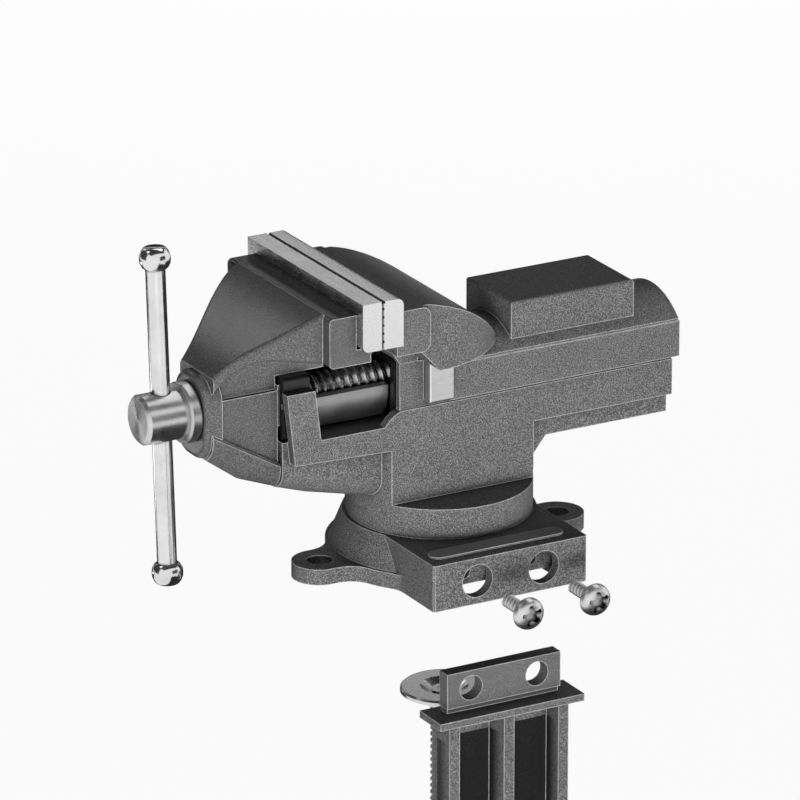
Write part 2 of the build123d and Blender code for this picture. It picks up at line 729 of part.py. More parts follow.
# Steel slide: an inverted channel, with a window over the nut on the near side
with BuildPart() as slide_channel:
    with BuildSketch(Plane.YZ.offset(slide_front_x)) as channel_profile:
        with Locations((0, (slide_bottom + slide_top) / 2)):
            Rectangle(2 * slide_half_width, slide_top - slide_bottom)
        fillet(channel_profile.vertices().group_by(Axis.Z)[-1], 2)
        with Locations((0, (slide_bottom + slide_top) / 2 - slide_wall)):
            Rectangle(2 * (slide_half_width - slide_wall), slide_top - slide_bottom, mode=Mode.SUBTRACT)
    extrude(amount=slide_rear_x - slide_front_x)
    with BuildSketch(Plane.XZ):
        with Locations(((window_front_x + window_rear_x) / 2, (slide_bottom + slide_top) / 2)):
            Rectangle(window_rear_x - window_front_x, slide_top - slide_bottom + 2)
    extrude(amount=slide_half_width + 1, mode=Mode.SUBTRACT)
    with BuildSketch(Plane.XZ.offset(slide_half_width)):
        with Locations((slide_screw_x, spindle_height)):
            Circle(slide_screw_head_radius + 0.1)
    extrude(amount=-2, mode=Mode.SUBTRACT)
    with BuildSketch(Plane.XZ.offset(-slide_half_width)):
        with Locations((slide_screw_x, spindle_height)):
            Circle(slide_screw_head_radius + 0.1)
    extrude(amount=2, mode=Mode.SUBTRACT)
    with BuildSketch(Plane.XZ):
        with Locations((slide_screw_x, spindle_height)):
            Circle(slide_screw_radius + 0.2)
    extrude(amount=slide_half_width, both=True, mode=Mode.SUBTRACT)
slide_channel.part.label = "slide_channel"
export_step(slide_channel.part, "parts/slide_channel.step")

with BuildPart() as slide_screws:
    with BuildSketch(Plane.XZ.offset(slide_half_width - 0.1)):
        with Locations((slide_screw_x, spindle_height)):
            Circle(slide_screw_head_radius)
    extrude(amount=-1.9)
    with BuildSketch(Plane.XZ.offset(slide_half_width - 0.1)):
        with Locations((slide_screw_x, spindle_height)):
            Circle(slide_screw_radius)
    extrude(amount=-(slide_half_width - spindle_radius - 1.2))
    mirror(about=Plane.XZ)
slide_screws.part.label = "slide_screws"
export_step(slide_screws.part, "parts/slide_screws.step")

# ---------------------------------------------------------------- spindle and handle
thrust_gap = 0.1
tilt = radians(handle_tilt)
handle_plane = Plane((handle_x, 0, spindle_height), x_dir=(1, 0, 0), z_dir=(0, sin(tilt), cos(tilt)))
with BuildPart() as spindle:
    with BuildSketch(Plane.YZ.offset(spindle_head_start)):
        with Locations((0, spindle_height)):
            Circle(spindle_head_radius)
    extrude(amount=spindle_head_end - spindle_head_start)
    chamfer(spindle.edges().group_by(Axis.X)[0], 0.8)
    with BuildSketch(Plane.YZ.offset(spindle_head_end)):
        with Locations((0, spindle_height)):
            Circle(spindle_radius)
    extrude(amount=spindle_tail_x - spindle_head_end)
    chamfer(spindle.edges().group_by(Axis.X)[-1], 1.4)
    with BuildSketch(handle_plane):
        Circle(handle_radius + bolt_clearance)
    extrude(amount=spindle_head_radius + 1, both=True, mode=Mode.SUBTRACT)
spindle.part.label = "spindle"
export_step(spindle.part, "parts/spindle.step")

with BuildPart() as thrust_collar:
    with BuildSketch(Plane.YZ.offset(spindle_head_end)):
        with Locations((0, spindle_height)):
            Circle(spindle_head_radius + 2.4)
            Circle(spindle_radius + 0.02, mode=Mode.SUBTRACT)
    extrude(amount=boss_x - thrust_gap - spindle_head_end)
    fillet(thrust_collar.edges().filter_by(GeomType.CIRCLE).sort_by(SortBy.LENGTH)[-2:], 1.2)
thrust_collar.part.label = "thrust_collar"
export_step(thrust_collar.part, "parts/thrust_collar.step")

with BuildPart() as retaining_ring:
    with BuildSketch(Plane.YZ.offset(plug_end_x + 0.2)):
        with Locations((0, spindle_height)):
            Circle(spindle_radius + 1.0)
            Circle(spindle_radius + 0.02, mode=Mode.SUBTRACT)
    extrude(amount=3.2)
    chamfer(retaining_ring.edges().filter_by(GeomType.CIRCLE).sort_by(SortBy.LENGTH)[-2:], 0.3)
retaining_ring.part.label = "retaining_ring"
export_step(retaining_ring.part, "parts/retaining_ring.step")

with BuildPart() as handle_bar:
    with BuildSketch(handle_plane.offset(1.5 - handle_length / 2)):
        Circle(handle_radius)
    extrude(amount=handle_length - 3)
handle_bar.part.label = "handle_bar"
export_step(handle_bar.part, "parts/handle_bar.step")


def knob(end_z, side):
    """A flattened ball on the end of the handle bar; side is +1 for the top one."""
    with BuildPart() as ball:
        with BuildSketch(Plane.XZ) as profile:
            with Locations((knob_radius / 2, end_z - side * knob_height / 2)):
                Rectangle(knob_radius, knob_height)
            rim = profile.vertices().group_by(Axis.X)[-1]
            fillet(rim, 4.2)
        revolve(axis=Axis.Z)
        with BuildSketch(Plane.XY.offset(end_z - side * knob_height)):
            Circle(handle_radius + 0.02)
        extrude(amount=side * (knob_height - 1.5), mode=Mode.SUBTRACT)
    return handle_plane.location * ball.part


for knob_name, knob_side in (("upper_knob", 1), ("lower_knob", -1)):
    handle_knob = knob(knob_side * handle_length / 2, knob_side)
    handle_knob.label = knob_name
    export_step(handle_knob, f"parts/{knob_name}.step")

# ---------------------------------------------------------------- table clamp, drawn off the base
hang_z = -clamp_drop
flange_bottom = hang_z - bracket_flange_thickness
arm_top_z = hang_z - throat_height
arm_bottom_z = arm_top_z - arm_thickness
clamp_boss_bottom = arm_bottom_z - clamp_boss_drop
spine_table_y = tongue_near_y + 10.4
spine_near_y = spine_table_y - spine_plate
flange_near_y = tongue_near_y - 7.6

with BuildPart() as clamp_bracket:
    # Tongue plate with its two holes, and the narrower root below it
    with BuildSketch(Plane.XY.offset(hang_z + tongue_neck)):
        with Locations((0, (tongue_near_y + tongue_far_y) / 2)):
            Rectangle(tongue_width, tongue_thickness)
    extrude(amount=tongue_height - tongue_neck)
    with BuildSketch(Plane.XY.offset(flange_bottom)):
        with Locations((0, (tongue_near_y + tongue_far_y) / 2 + 0.6)):
            Rectangle(tongue_width - 1.2, tongue_thickness - 1.2)
    extrude(amount=tongue_neck + bracket_flange_thickness)
    with BuildSketch(Plane.XZ.offset(-tongue_near_y + 1)):
        with Locations((0, hang_z + bracket_hole_height)):
            with GridLocations(bracket_hole_spacing, 0, 2, 1):
                Circle(tongue_hole_radius)
    extrude(amount=-tongue_thickness - 2, mode=Mode.SUBTRACT)
    # Flange under the block
    with BuildSketch(Plane.XY.offset(flange_bottom)):
        with Locations((0, flange_near_y + bracket_flange_depth / 2)):
            Rectangle(bracket_flange_width, bracket_flange_depth)
    extrude(amount=bracket_flange_thickness)
    # Spine: a plate at the table's edge with three tapered ribs on its outer side
    with BuildSketch(Plane.XY.offset(flange_bottom)) as spine_section:
        with Locations((0, (spine_table_y + spine_near_y) / 2)):
            Rectangle(spine_width, spine_plate)
        for rib_x in (-(spine_width - spine_rib) / 2, 0, (spine_width - spine_rib) / 2):
            outer = spine_rib / 2
            inner = min(spine_rib / 2 + 1.6, spine_width / 2 - abs(rib_x))
            left = rib_x - (outer if rib_x < 0 else inner)
            right = rib_x + (outer if rib_x > 0 else inner)
            with BuildLine():
                Polyline(
                    (left, spine_near_y + 0.5),
                    (rib_x - outer, spine_near_y - spine_rib_depth),
                    (rib_x + outer, spine_near_y - spine_rib_depth),
                    (right, spine_near_y + 0.5),
                    close=True,
                )
            make_face()
    extrude(amount=arm_bottom_z - flange_bottom)
    # Arm under the table, round at its end, with the boss of the clamp screw
    with BuildSketch(Plane.XY.offset(arm_bottom_z)):
        with BuildLine():
            Polyline(
                (-spine_width / 2, spine_table_y - 1),
                (-arm_width / 2, spine_table_y + 18),
                (-clamp_boss_radius, clamp_axis_y),
                (clamp_boss_radius, clamp_axis_y),
                (arm_width / 2, spine_table_y + 18),
                (spine_width / 2, spine_table_y - 1),
                close=True,
            )
        make_face()
        with Locations((0, clamp_axis_y)):
            Circle(clamp_boss_radius)
    extrude(amount=arm_thickness)
    with BuildSketch(Plane.XY.offset(clamp_boss_bottom)):
        with Locations((0, clamp_axis_y)):
            Circle(clamp_boss_radius)
    extrude(amount=clamp_boss_drop + 1)
    # Rib under the arm
    with BuildSketch(Plane.YZ):
        with BuildLine():
            Polyline(
                (spine_table_y - 1, arm_bottom_z + 1),
                (spine_table_y - 1, arm_bottom_z - 6),
                (clamp_axis_y - clamp_boss_radius + 2, clamp_boss_bottom),
                (clamp_axis_y - clamp_boss_radius + 2, arm_bottom_z + 1),
                close=True,
            )
        make_face()
    extrude(amount=3.5, both=True)
    with Locations((0, clamp_axis_y, arm_top_z)):
        Hole(clamp_screw_radius + bore_clearance)
clamp_bracket.part.label = "clamp_bracket"
export_step(clamp_bracket.part, "parts/clamp_bracket.step")

# Pressure pad: a dished disc on the screw's stud
pad_z = hang_z - pad_top_below_flange
dish_depth = 2.6
pad_hub_bottom = pad_z - 7.0
stud_radius = 3.0
with BuildPart() as pressure_pad:
    with BuildSketch(Plane.XZ):
        with BuildLine():
            Polyline(
                (stud_radius + bolt_clearance, pad_z - dish_depth),
                (6.4, pad_z - dish_depth),
                (10.4, pad_z),
                (pad_radius - 0.8, pad_z),
                (pad_radius, pad_z - 0.8),
                (pad_radius, pad_z - 2.2),
                (12.5, pad_z - pad_thickness),
                (9.5, pad_z - pad_thickness - 0.6),
                (9.5, pad_hub_bottom),
                (stud_radius + bolt_clearance, pad_hub_bottom),
                close=True,
            )
        make_face()
    revolve(axis=Axis.Z)
pressure_pad = Pos(0, clamp_axis_y, 0) * pressure_pad.part
pressure_pad.label = "pressure_pad"
export_step(pressure_pad, "parts/pressure_pad.step")

pad_washer_thickness = 1.2
with BuildPart() as pad_retainer:
    with BuildSketch(Plane.XY.offset(pad_z - dish_depth + bore_clearance)):
        with Locations((0, clamp_axis_y)):
            Circle(5.2)
            Circle(stud_radius + 0.02, mode=Mode.SUBTRACT)
    extrude(amount=pad_washer_thickness)
pad_retainer.part.label = "pad_retainer"
export_step(pad_retainer.part, "parts/pad_retainer.step")

screw_top_z = pad_hub_bottom - bore_clearance
clamp_hub_top = screw_top_z - clamp_screw_length + clamp_hub_height
clamp_hub_bottom = screw_top_z - clamp_screw_length
clamp_bar_z = clamp_hub_bottom + clamp_hub_height / 2
with BuildPart() as clamp_screw:
    with BuildSketch(Plane.XY.offset(clamp_hub_bottom)):
        with Locations((0, clamp_axis_y)):
            Circle(clamp_hub_radius)
    extrude(amount=clamp_hub_height)
    chamfer(clamp_screw.edges(), 0.8)
    with BuildSketch(Plane.XY.offset(clamp_hub_top)):
        with Locations((0, clamp_axis_y)):
            Circle(clamp_screw_radius)
    extrude(amount=screw_top_z - clamp_hub_top)
    with BuildSketch(Plane.XY.offset(screw_top_z)):
        with Locations((0, clamp_axis_y)):
            Circle(stud_radius)
    extrude(amount=pad_z - dish_depth + bore_clearance + pad_washer_thickness - screw_top_z)
    with BuildSketch(Plane.YZ):
        with Locations((clamp_axis_y, clamp_bar_z)):
            Circle(clamp_bar_radius + bolt_clearance)
    extrude(amount=clamp_hub_radius + 1, both=True, mode=Mode.SUBTRACT)
clamp_screw.part.label = "clamp_screw"
export_step(clamp_screw.part, "parts/clamp_screw.step")

with BuildPart() as clamp_bar:
    with BuildSketch(Plane.YZ):
        with Locations((clamp_axis_y, clamp_bar_z)):
            Circle(clamp_bar_radius)
    extrude(amount=clamp_bar_length / 2 - 1, both=True)
clamp_bar.part.label = "clamp_bar"
export_step(clamp_bar.part, "parts/clamp_bar.step")

with BuildPart() as clamp_bar_ends:
    with BuildSketch(Plane.YZ.offset(clamp_bar_length / 2 - clamp_bar_end_length)):
        with Locations((clamp_axis_y, clamp_bar_z)):
            Circle(clamp_bar_end_radius)
    extrude(amount=clamp_bar_end_length)
    fillet(clamp_bar_ends.edges().group_by(Axis.X)[-1], 2)
    with BuildSketch(Plane.YZ.offset(clamp_bar_length / 2 - clamp_bar_end_length)):
        with Locations((clamp_axis_y, clamp_bar_z)):
            Circle(clamp_bar_radius + 0.02)
    extrude(amount=clamp_bar_end_length - 1, mode=Mode.SUBTRACT)
    mirror(about=Plane.YZ)
clamp_bar_ends.part.label = "clamp_bar_ends"
export_step(clamp_bar_ends.part, "parts/clamp_bar_ends.step")

# ---------------------------------------------------------------- mounting screws, drawn out of the block
screw_seat_y = tongue_near_y - screw_seat_gap - screw_pull_out
with BuildPart() as mounting_screws:
    with BuildSketch(Plane.XZ.offset(-screw_seat_y)):
        with Locations((0, bracket_hole_height)):
            with GridLocations(bracket_hole_spacing, 0, 2, 1):
                Circle(screw_head_radius)
    extrude(amount=screw_head_height)
    fillet(mounting_screws.edges().group_by(Axis.Y)[0], screw_head_height - 0.9)
    with BuildSketch(Plane.XZ.offset(-screw_seat_y)):
        with Locations((0, bracket_hole_height)):
            with GridLocations(bracket_hole_spacing, 0, 2, 1):
                Circle(screw_radius)
    extrude(amount=-screw_length)
    chamfer(mounting_screws.edges().group_by(Axis.Y)[-1], 0.6)
    with BuildSketch(Plane.XZ.offset(-screw_seat_y + screw_head_height)):
        with Locations((0, bracket_hole_height)):
            with GridLocations(bracket_hole_spacing, 0, 2, 1):
                RegularPolygon(2.6, 6)
                RegularPolygon(2.6, 3)
    extrude(amount=-2.4, mode=Mode.SUBTRACT)
mounting_screws.part.label = "mounting_screws"
export_step(mounting_screws.part, "parts/mounting_screws.step")
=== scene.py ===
"""Looks of a clamp-on swivel bench vise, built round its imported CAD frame.

Everything is in metres. X runs along the spindle with the handle at -X, -Y is the side of the table
clamp and +Z is up. The CAD nodes keep their shape and get finishes; the threaded, grooved and
recessed pieces are modelled here and stand for their nodes.
"""

import logging
import math
from collections.abc import Callable
from dataclasses import dataclass, field
from enum import Enum

import bpy
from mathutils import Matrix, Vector


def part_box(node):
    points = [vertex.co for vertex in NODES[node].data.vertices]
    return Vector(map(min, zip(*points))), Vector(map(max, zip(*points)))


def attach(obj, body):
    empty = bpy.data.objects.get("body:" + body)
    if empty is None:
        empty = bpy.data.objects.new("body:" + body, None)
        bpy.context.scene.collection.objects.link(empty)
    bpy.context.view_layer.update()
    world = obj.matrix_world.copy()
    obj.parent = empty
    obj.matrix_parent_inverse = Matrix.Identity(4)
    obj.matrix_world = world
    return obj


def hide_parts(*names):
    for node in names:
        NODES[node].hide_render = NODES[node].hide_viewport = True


LOG = logging.getLogger("vise")
MM = 0.001
MERGE = 0.001 * MM  # vertices nearer than this become one
STEP = 0.1 * MM  # the run of a short step between two radii
LAMP_TARGET = Vector((0.0, 0.0, 0.03))
SQUARE = 45  # the turn, in degrees, that puts a square cutter on its edge

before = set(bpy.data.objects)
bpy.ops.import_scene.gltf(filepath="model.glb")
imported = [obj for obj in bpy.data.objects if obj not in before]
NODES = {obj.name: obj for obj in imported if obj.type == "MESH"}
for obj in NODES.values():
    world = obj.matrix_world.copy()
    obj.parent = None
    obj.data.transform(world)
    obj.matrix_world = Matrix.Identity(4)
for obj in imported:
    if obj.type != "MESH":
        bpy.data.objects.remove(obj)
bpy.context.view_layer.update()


class Axis(Enum):
    """A direction that a turned piece is built along."""

    X = (1.0, 0.0, 0.0)
    Y = (0.0, 1.0, 0.0)
    Z = (0.0, 0.0, 1.0)


class Element(Enum):
    """What is selected in a mesh."""

    VERTEX = "VERT"
    EDGE = "EDGE"


# ------------------------------------------------------------------------------ finishes
class Graph:
    """One material's node tree, built node by node."""

    def __init__(self, name: str) -> None:
        """Starts a material with a Principled shader and Object coordinates.

        Args:
            name: The material's name.
        """
        self.material = bpy.data.materials.new(name)
        self.material.use_nodes = True
        self.tree = self.material.node_tree
        self.shader = self.tree.nodes["Principled BSDF"]
        self.place = self.add("ShaderNodeTexCoord").outputs["Object"]

    def add(self, kind: str, settings: dict | None = None, inputs: dict | None = None) -> bpy.types.Node:
        """Adds a node.

        Args:
            kind: The node's type.
            settings: Values of the node's own properties.
            inputs: A value, or a socket to link, for each input by name or number.

        Returns:
            The new node.
        """
        node = self.tree.nodes.new(kind)
        for key, value in (settings or {}).items():
            setattr(node, key, value)
        for key, value in (inputs or {}).items():
            self.feed(node, key, value)
        return node

    def feed(self, node: bpy.types.Node, key: str | int, value: object) -> None:
        """Links a socket to an input, or sets the input's value.

        Args:
            node: The node.
            key: The input's name or number.
            value: The socket or the value.
        """
        if isinstance(value, bpy.types.NodeSocket):
            self.tree.links.new(value, node.inputs[key])
        else:
            node.inputs[key].default_value = value

    def maths(self, kind: str, first: object, second: object = 0.0) -> bpy.types.NodeSocket:
        """Adds a Math node and gives its result's socket.

        Args:
            kind: The operation.
            first: Its first input.
            second: Its second input.

        Returns:
            The result's socket.
        """
        return self.add("ShaderNodeMath", {"operation": kind}, {0: first, 1: second}).outputs[0]

    def vectors(self, kind: str, first: object, second: object = (0.0, 0.0, 0.0)) -> bpy.types.Node:
        """Adds a Vector Math node.

        Args:
            kind: The operation.
            first: Its first input.
            second: Its second input.

        Returns:
            The node.
        """
        return self.add("ShaderNodeVectorMath", {"operation": kind}, {0: first, 1: second})

    def along(self, axis: int) -> bpy.types.NodeSocket:
        """Gives one of the Object coordinates: 0 is X, 1 is Y and 2 is Z."""
        return self.add("ShaderNodeSeparateXYZ", None, {0: self.place}).outputs[axis]

    def stretched(self, scale: tuple[float, float, float]) -> bpy.types.NodeSocket:
        """Gives Object coordinates scaled along each axis."""
        return self.add("ShaderNodeMapping", None, {"Vector": self.place, "Scale": scale}).outputs[0]

    def noise(self, size: float, detail: float = 2.0, rough: float = 0.5,
              stretch: tuple[float, float, float] = (1.0, 1.0, 1.0)) -> bpy.types.NodeSocket:
        """Adds a noise pattern.

        Args:
            size: The size of its blotches, in metres.
            detail: Its octaves.
            rough: How strong the fine octaves are.
            stretch: How much finer the pattern is along each axis.

        Returns:
            The pattern's socket, around 0.5.
        """
        vector = self.place if stretch == (1.0, 1.0, 1.0) else self.stretched(stretch)
        node = self.add("ShaderNodeTexNoise", None, {
            "Vector": vector, "Scale": 1.0 / size, "Detail": detail, "Roughness": rough})
        return node.outputs[0]

    def cells(self, size: float) -> bpy.types.NodeSocket:
        """Adds a pattern of rounded pebbles, high in their middles.

        Args:
            size: The size of a pebble, in metres.

        Returns:
            The pattern's socket.
        """
        node = self.add("ShaderNodeTexVoronoi", {"feature": "SMOOTH_F1"}, {
            "Vector": self.place, "Scale": 1.0 / size, "Smoothness": 0.6})
        return self.maths("SUBTRACT", 1.0, node.outputs["Distance"])

    def spread(self, value: bpy.types.NodeSocket, low: float, high: float,
               start: float = 0.0, end: float = 1.0) -> bpy.types.NodeSocket:
        """Maps a stretch of a pattern's values to another, and holds it there.

        Args:
            value: The pattern.
            low: Where the stretch starts.
            high: Where it ends.
            start: What low becomes.
            end: What high becomes.

        Returns:
            The mapped pattern's socket.
        """
        node = self.add("ShaderNodeMapRange", {"clamp": True}, {
            "Value": value, "From Min": low, "From Max": high, "To Min": start, "To Max": end})
        return node.outputs[0]

    def blend(self, share: object, first: object, second: object) -> bpy.types.NodeSocket:
        """Mixes two colours. The node's colour sockets are inputs 6 and 7 and output 2.

        Args:
            share: The share of the second one.
            first: The first colour.
            second: The second colour.

        Returns:
            The mixed colour's socket.
        """
        node = self.add("ShaderNodeMix", {"data_type": "RGBA"}, {0: share, 6: first, 7: second})
        return node.outputs[2]

    def edges(self, width: float) -> bpy.types.NodeSocket:
        """Finds the edges of a solid, from how far its rounded normal leaves its real one.

        Args:
            width: How far from an edge the mask reaches, in metres.

        Returns:
            A mask that is 1 on edges.
        """
        soft = self.add("ShaderNodeBevel", {"samples": 4}, {"Radius": width}).outputs[0]
        hard = self.add("ShaderNodeNewGeometry").outputs["Normal"]
        alike = self.vectors("DOT_PRODUCT", soft, hard).outputs["Value"]
        return self.spread(self.maths("SUBTRACT", 1.0, alike), 0.015, 0.14)

    def corner_shade(self, reach: float, low: float = 0.40, high: float = 0.88) -> bpy.types.NodeSocket:
        """Finds inner corners and seams, for the painted shade that darkens them.

        Args:
            reach: How far a wall may be, in metres.
            low: The openness at which the mask is full.
            high: The openness at which it ends.

        Returns:
            A mask that is 1 in the corners.
        """
        node = self.add("ShaderNodeAmbientOcclusion", {"samples": 4}, {"Distance": reach})
        return self.spread(node.outputs["AO"], low, high, 1.0, 0.0)

    def bump(self, height: bpy.types.NodeSocket, depth: float, strength: float = 1.0,
             under: bpy.types.NodeSocket | None = None) -> bpy.types.NodeSocket:
        """Adds a relief.

        Args:
            height: The pattern that it follows.
            depth: Its depth, in metres.
            strength: How strongly it shows.
            under: The normal that it lies on.

        Returns:
            The new normal's socket.
        """
        inputs = {"Height": height, "Distance": depth, "Strength": strength}
        if under is not None:
            inputs["Normal"] = under
        return self.add("ShaderNodeBump", None, inputs).outputs[0]

    def shine(self, **values: object) -> None:
        """Sets or links inputs of the Principled shader.

        Args:
            values: The inputs by name, with spaces written as underscores.
        """
        for key, value in values.items():
            self.feed(self.shader, key.replace("_", " "), value)


def grey(value: float) -> tuple[float, float, float, float]:
    """Gives a neutral colour of a linear value."""
    return (value, value, value, 1.0)


@dataclass(frozen=True)
class CastPaint:
    """Dark enamel on a casting: pebbled, with painted shade in its corners and a painted highlight along its
    edges.

    Above a given height it is lighter, and below channel_top painted shade darkens it towards the floor of
    channels that open at -Y. The fade says where that starts, is full and ends, from the floor.
    """

    name: str
    tone: float
    pebble: float = 1.1 * MM
    relief: float = 0.24 * MM
    speckle: float = 0.55
    edge_highlight_tone: float = 0.65
    edge_width: float = 0.7 * MM
    shade_reach: float = 7.0 * MM
    roughness: float = 0.36
    lighter_above: float | None = None
    channel_floor: float | None = None
    channel_top: float = 0.0
    channel_fade: tuple[float, float, float] = (-8.0 * MM, -2.0 * MM, 0.5 * MM)

    def make(self) -> bpy.types.Material:
        """Builds the material."""
        g = Graph(self.name)
        drift = g.spread(g.noise(34 * MM, 3.0), 0.3, 0.7)
        body = g.blend(drift, grey(self.tone * 0.85), grey(self.tone * 1.12))
        pebbles = g.cells(self.pebble)
        grain = g.noise(self.pebble * 0.45, 1.0, 0.5)
        # Each layer blends in a share of the tone, where its pattern runs from the low to the high value.
        # Together they are flecks in the enamel and painted highlights on the raised pebbles and grains,
        # with painted shade in the hollows between them.
        for pattern, low, high, lightens, share in (
                (pebbles, 0.45, 0.95, False, 0.30), (pebbles, 0.80, 1.00, True, 1.9),
                (grain, 0.50, 0.64, True, 2.6), (grain, 0.36, 0.50, False, 0.25)):
            ends = (0.0, self.speckle) if lightens else (self.speckle, 0.0)
            body = g.blend(g.spread(pattern, low, high, *ends), body, grey(self.tone * share))
        # Lighter above the given height.
        if self.lighter_above is not None:
            above_mask = g.maths("GREATER_THAN", g.along(2), self.lighter_above)
            body = g.blend(above_mask, body, grey(self.tone * 2.2))
        # Painted shade: darker towards the floor of the channels.
        if self.channel_floor is not None:
            body = g.blend(self.channels(g, self.channel_floor), body, grey(self.tone * 0.05))
        # Painted shade: darker in inner corners and seams, where light is blocked.
        body = g.blend(g.corner_shade(self.shade_reach), body, grey(self.tone * 0.12))
        # Painted highlight: lighter along the edges, broken into patches.
        highlight_patches = g.spread(g.noise(6 * MM, 3.0), 0.2, 0.6, 0.55, 0.95)
        body = g.blend(g.maths("MULTIPLY", g.edges(self.edge_width), highlight_patches), body, grey(self.edge_highlight_tone))
        normal = g.bump(pebbles, self.relief, 0.6)
        normal = g.bump(grain, self.relief * 0.3, 0.5, normal)
        g.shine(Base_Color=body, Roughness=g.spread(drift, 0.0, 1.0, self.roughness, self.roughness + 0.08),
                Normal=normal)
        g.shader.inputs["Specular IOR Level"].default_value = 0.32
        return g.material

    def channels(self, g: Graph, floor: float) -> bpy.types.NodeSocket:
        """Finds the inside of the channels, where painted shade darkens the enamel.

        Args:
            g: The material's graph.
            floor: The Y of the channels' floor.

        Returns:
            A mask that grows towards the floor.
        """
        start, full, end = (floor + step for step in self.channel_fade)
        depth = g.spread(g.along(1), start, full, 0.0, 0.95)
        depth = g.maths("MULTIPLY", depth, g.maths("LESS_THAN", g.along(1), end))
        return g.maths("MULTIPLY", depth, g.maths("LESS_THAN", g.along(2), self.channel_top))


@dataclass(frozen=True)
class BareSteel:
    """Machined or plated steel, with marks along one direction, fine mottling and painted shade in its
    corners.

    A seam is the X and the lowest Z of a dark joint between two pieces.
    """

    name: str
    tone: float
    roughness: float
    marks: tuple[float, float, float] = (1.0, 1.0, 1.0)
    mark_size: float = 0.5 * MM
    relief: float = 0.004 * MM
    shade_reach: float = 1.2 * MM
    seam: tuple[float, float] | None = None
    seam_reach: float = 0.85 * MM

    def make(self) -> bpy.types.Material:
        """Builds the material."""
        g = Graph(self.name)
        lines = g.noise(self.mark_size, 3.0, 0.6, self.marks)
        drift = g.noise(11 * MM, 3.0, 0.55)
        body = g.blend(g.spread(drift, 0.3, 0.7), grey(self.tone * 0.88), grey(min(self.tone * 1.08, 0.95)))
        body = g.blend(g.spread(lines, 0.35, 0.65, 0.0, 0.25), body, grey(self.tone * 0.76))
        if self.seam is not None:
            away = g.maths("ABSOLUTE", g.maths("SUBTRACT", g.along(0), self.seam[0]))
            joint = g.maths("MULTIPLY", g.maths("LESS_THAN", away, self.seam_reach),
                            g.maths("GREATER_THAN", g.along(2), self.seam[1]))
            body = g.blend(joint, body, grey(0.01))
        # Painted shade: darker in corners and thread roots.
        body = g.blend(g.corner_shade(self.shade_reach, 0.55, 0.97), body, grey(self.tone * 0.06))
        rough = g.spread(g.maths("ADD", lines, drift), 0.7, 1.3, self.roughness * 0.8, self.roughness * 1.25)
        g.shine(Base_Color=body, Roughness=rough, Normal=g.bump(lines, self.relief, 0.6))
        g.shader.inputs["Metallic"].default_value = 1.0
        return g.material


@dataclass(frozen=True)
class TurnedSteel:
    """Lathe-turned steel, with fine rings round an axis that runs along X."""

    name: str
    tone: float
    roughness: float
    centre: tuple[float, float, float]
    pitch: float = 0.28 * MM
    face_relief: float = 0.040 * MM
    side_relief: float = 0.006 * MM

    def make(self) -> bpy.types.Material:
        """Builds the material."""
        g = Graph(self.name)
        offset = g.vectors("SUBTRACT", g.place, self.centre).outputs[0]
        across = g.vectors("MULTIPLY", offset, (0.0, 1.0, 1.0)).outputs[0]
        radius = g.vectors("LENGTH", across).outputs["Value"]
        turns = 2 * math.pi / self.pitch
        face = g.maths("SINE", g.maths("MULTIPLY", radius, turns))
        side = g.maths("SINE", g.maths("MULTIPLY", g.along(0), turns))
        normal = g.bump(side, self.side_relief, 0.8, g.bump(face, self.face_relief, 0.8))
        drift = g.noise(9 * MM, 3.0, 0.55)
        body = g.blend(g.spread(drift, 0.3, 0.7), grey(self.tone * 0.9), grey(min(self.tone * 1.08, 0.95)))
        g.shine(Base_Color=body, Normal=normal,
                Roughness=g.spread(drift, 0.3, 0.7, self.roughness, self.roughness * 1.3))
        g.shader.inputs["Metallic"].default_value = 1.0
        return g.material


# ------------------------------------------------------------------------------ studio
def seen_directly(tree: bpy.types.NodeTree) -> bpy.types.NodeSocket:
    """Tells the rays that show a thing, directly or mirrored, from those that it only lights.

    Args:
        tree: The node tree that asks.

    Returns:
        A socket that is 1 for camera, glossy and transmission rays.
    """
    rays = tree.nodes.new("ShaderNodeLightPath").outputs
    seen = rays["Is Camera Ray"]
    for kind in ("Is Transmission Ray", "Is Glossy Ray"):
        either = tree.nodes.new("ShaderNodeMath")
        either.operation = "MAXIMUM"
        tree.links.new(seen, either.inputs[0])
        tree.links.new(rays[kind], either.inputs[1])
        seen = either.outputs[0]
    return seen


@dataclass
class View:
    """The camera, far off with a long lens, as the picture has almost no perspective."""

    azimuth: float = -29.3
    elevation: float = 20.24
    distance: float = 3.2
    width: float = 337.9 * MM
    aim_right: float = -16.5 * MM
    aim_up: float = -1.6 * MM
    aim_height: float = 70.0 * MM
    sensor: float = 36.0

    def build(self) -> None:
        """Makes the camera and gives it to the scene."""
        a, e = math.radians(self.azimuth), math.radians(self.elevation)
        back = Vector((math.sin(a) * math.cos(e), -math.cos(a) * math.cos(e), math.sin(e)))
        right = Vector((math.cos(a), math.sin(a), 0.0))
        up = back.cross(right)
        aim = Vector((0.0, 0.0, self.aim_height)) + right * self.aim_right + up * self.aim_up
        data = bpy.data.cameras.new("view")
        data.sensor_width = self.sensor
        data.lens = self.sensor * self.distance / self.width
        data.clip_start = 0.1
        data.clip_end = 50.0
        camera = bpy.data.objects.new("view", data)
        camera.rotation_mode = "QUATERNION"
        camera.location = aim + back * self.distance
        camera.rotation_quaternion = (-back).to_track_quat("-Z", "Y")
        bpy.context.scene.collection.objects.link(camera)
        bpy.context.scene.camera = camera
        LOG.info("camera at %s", tuple(round(v, 3) for v in camera.location))


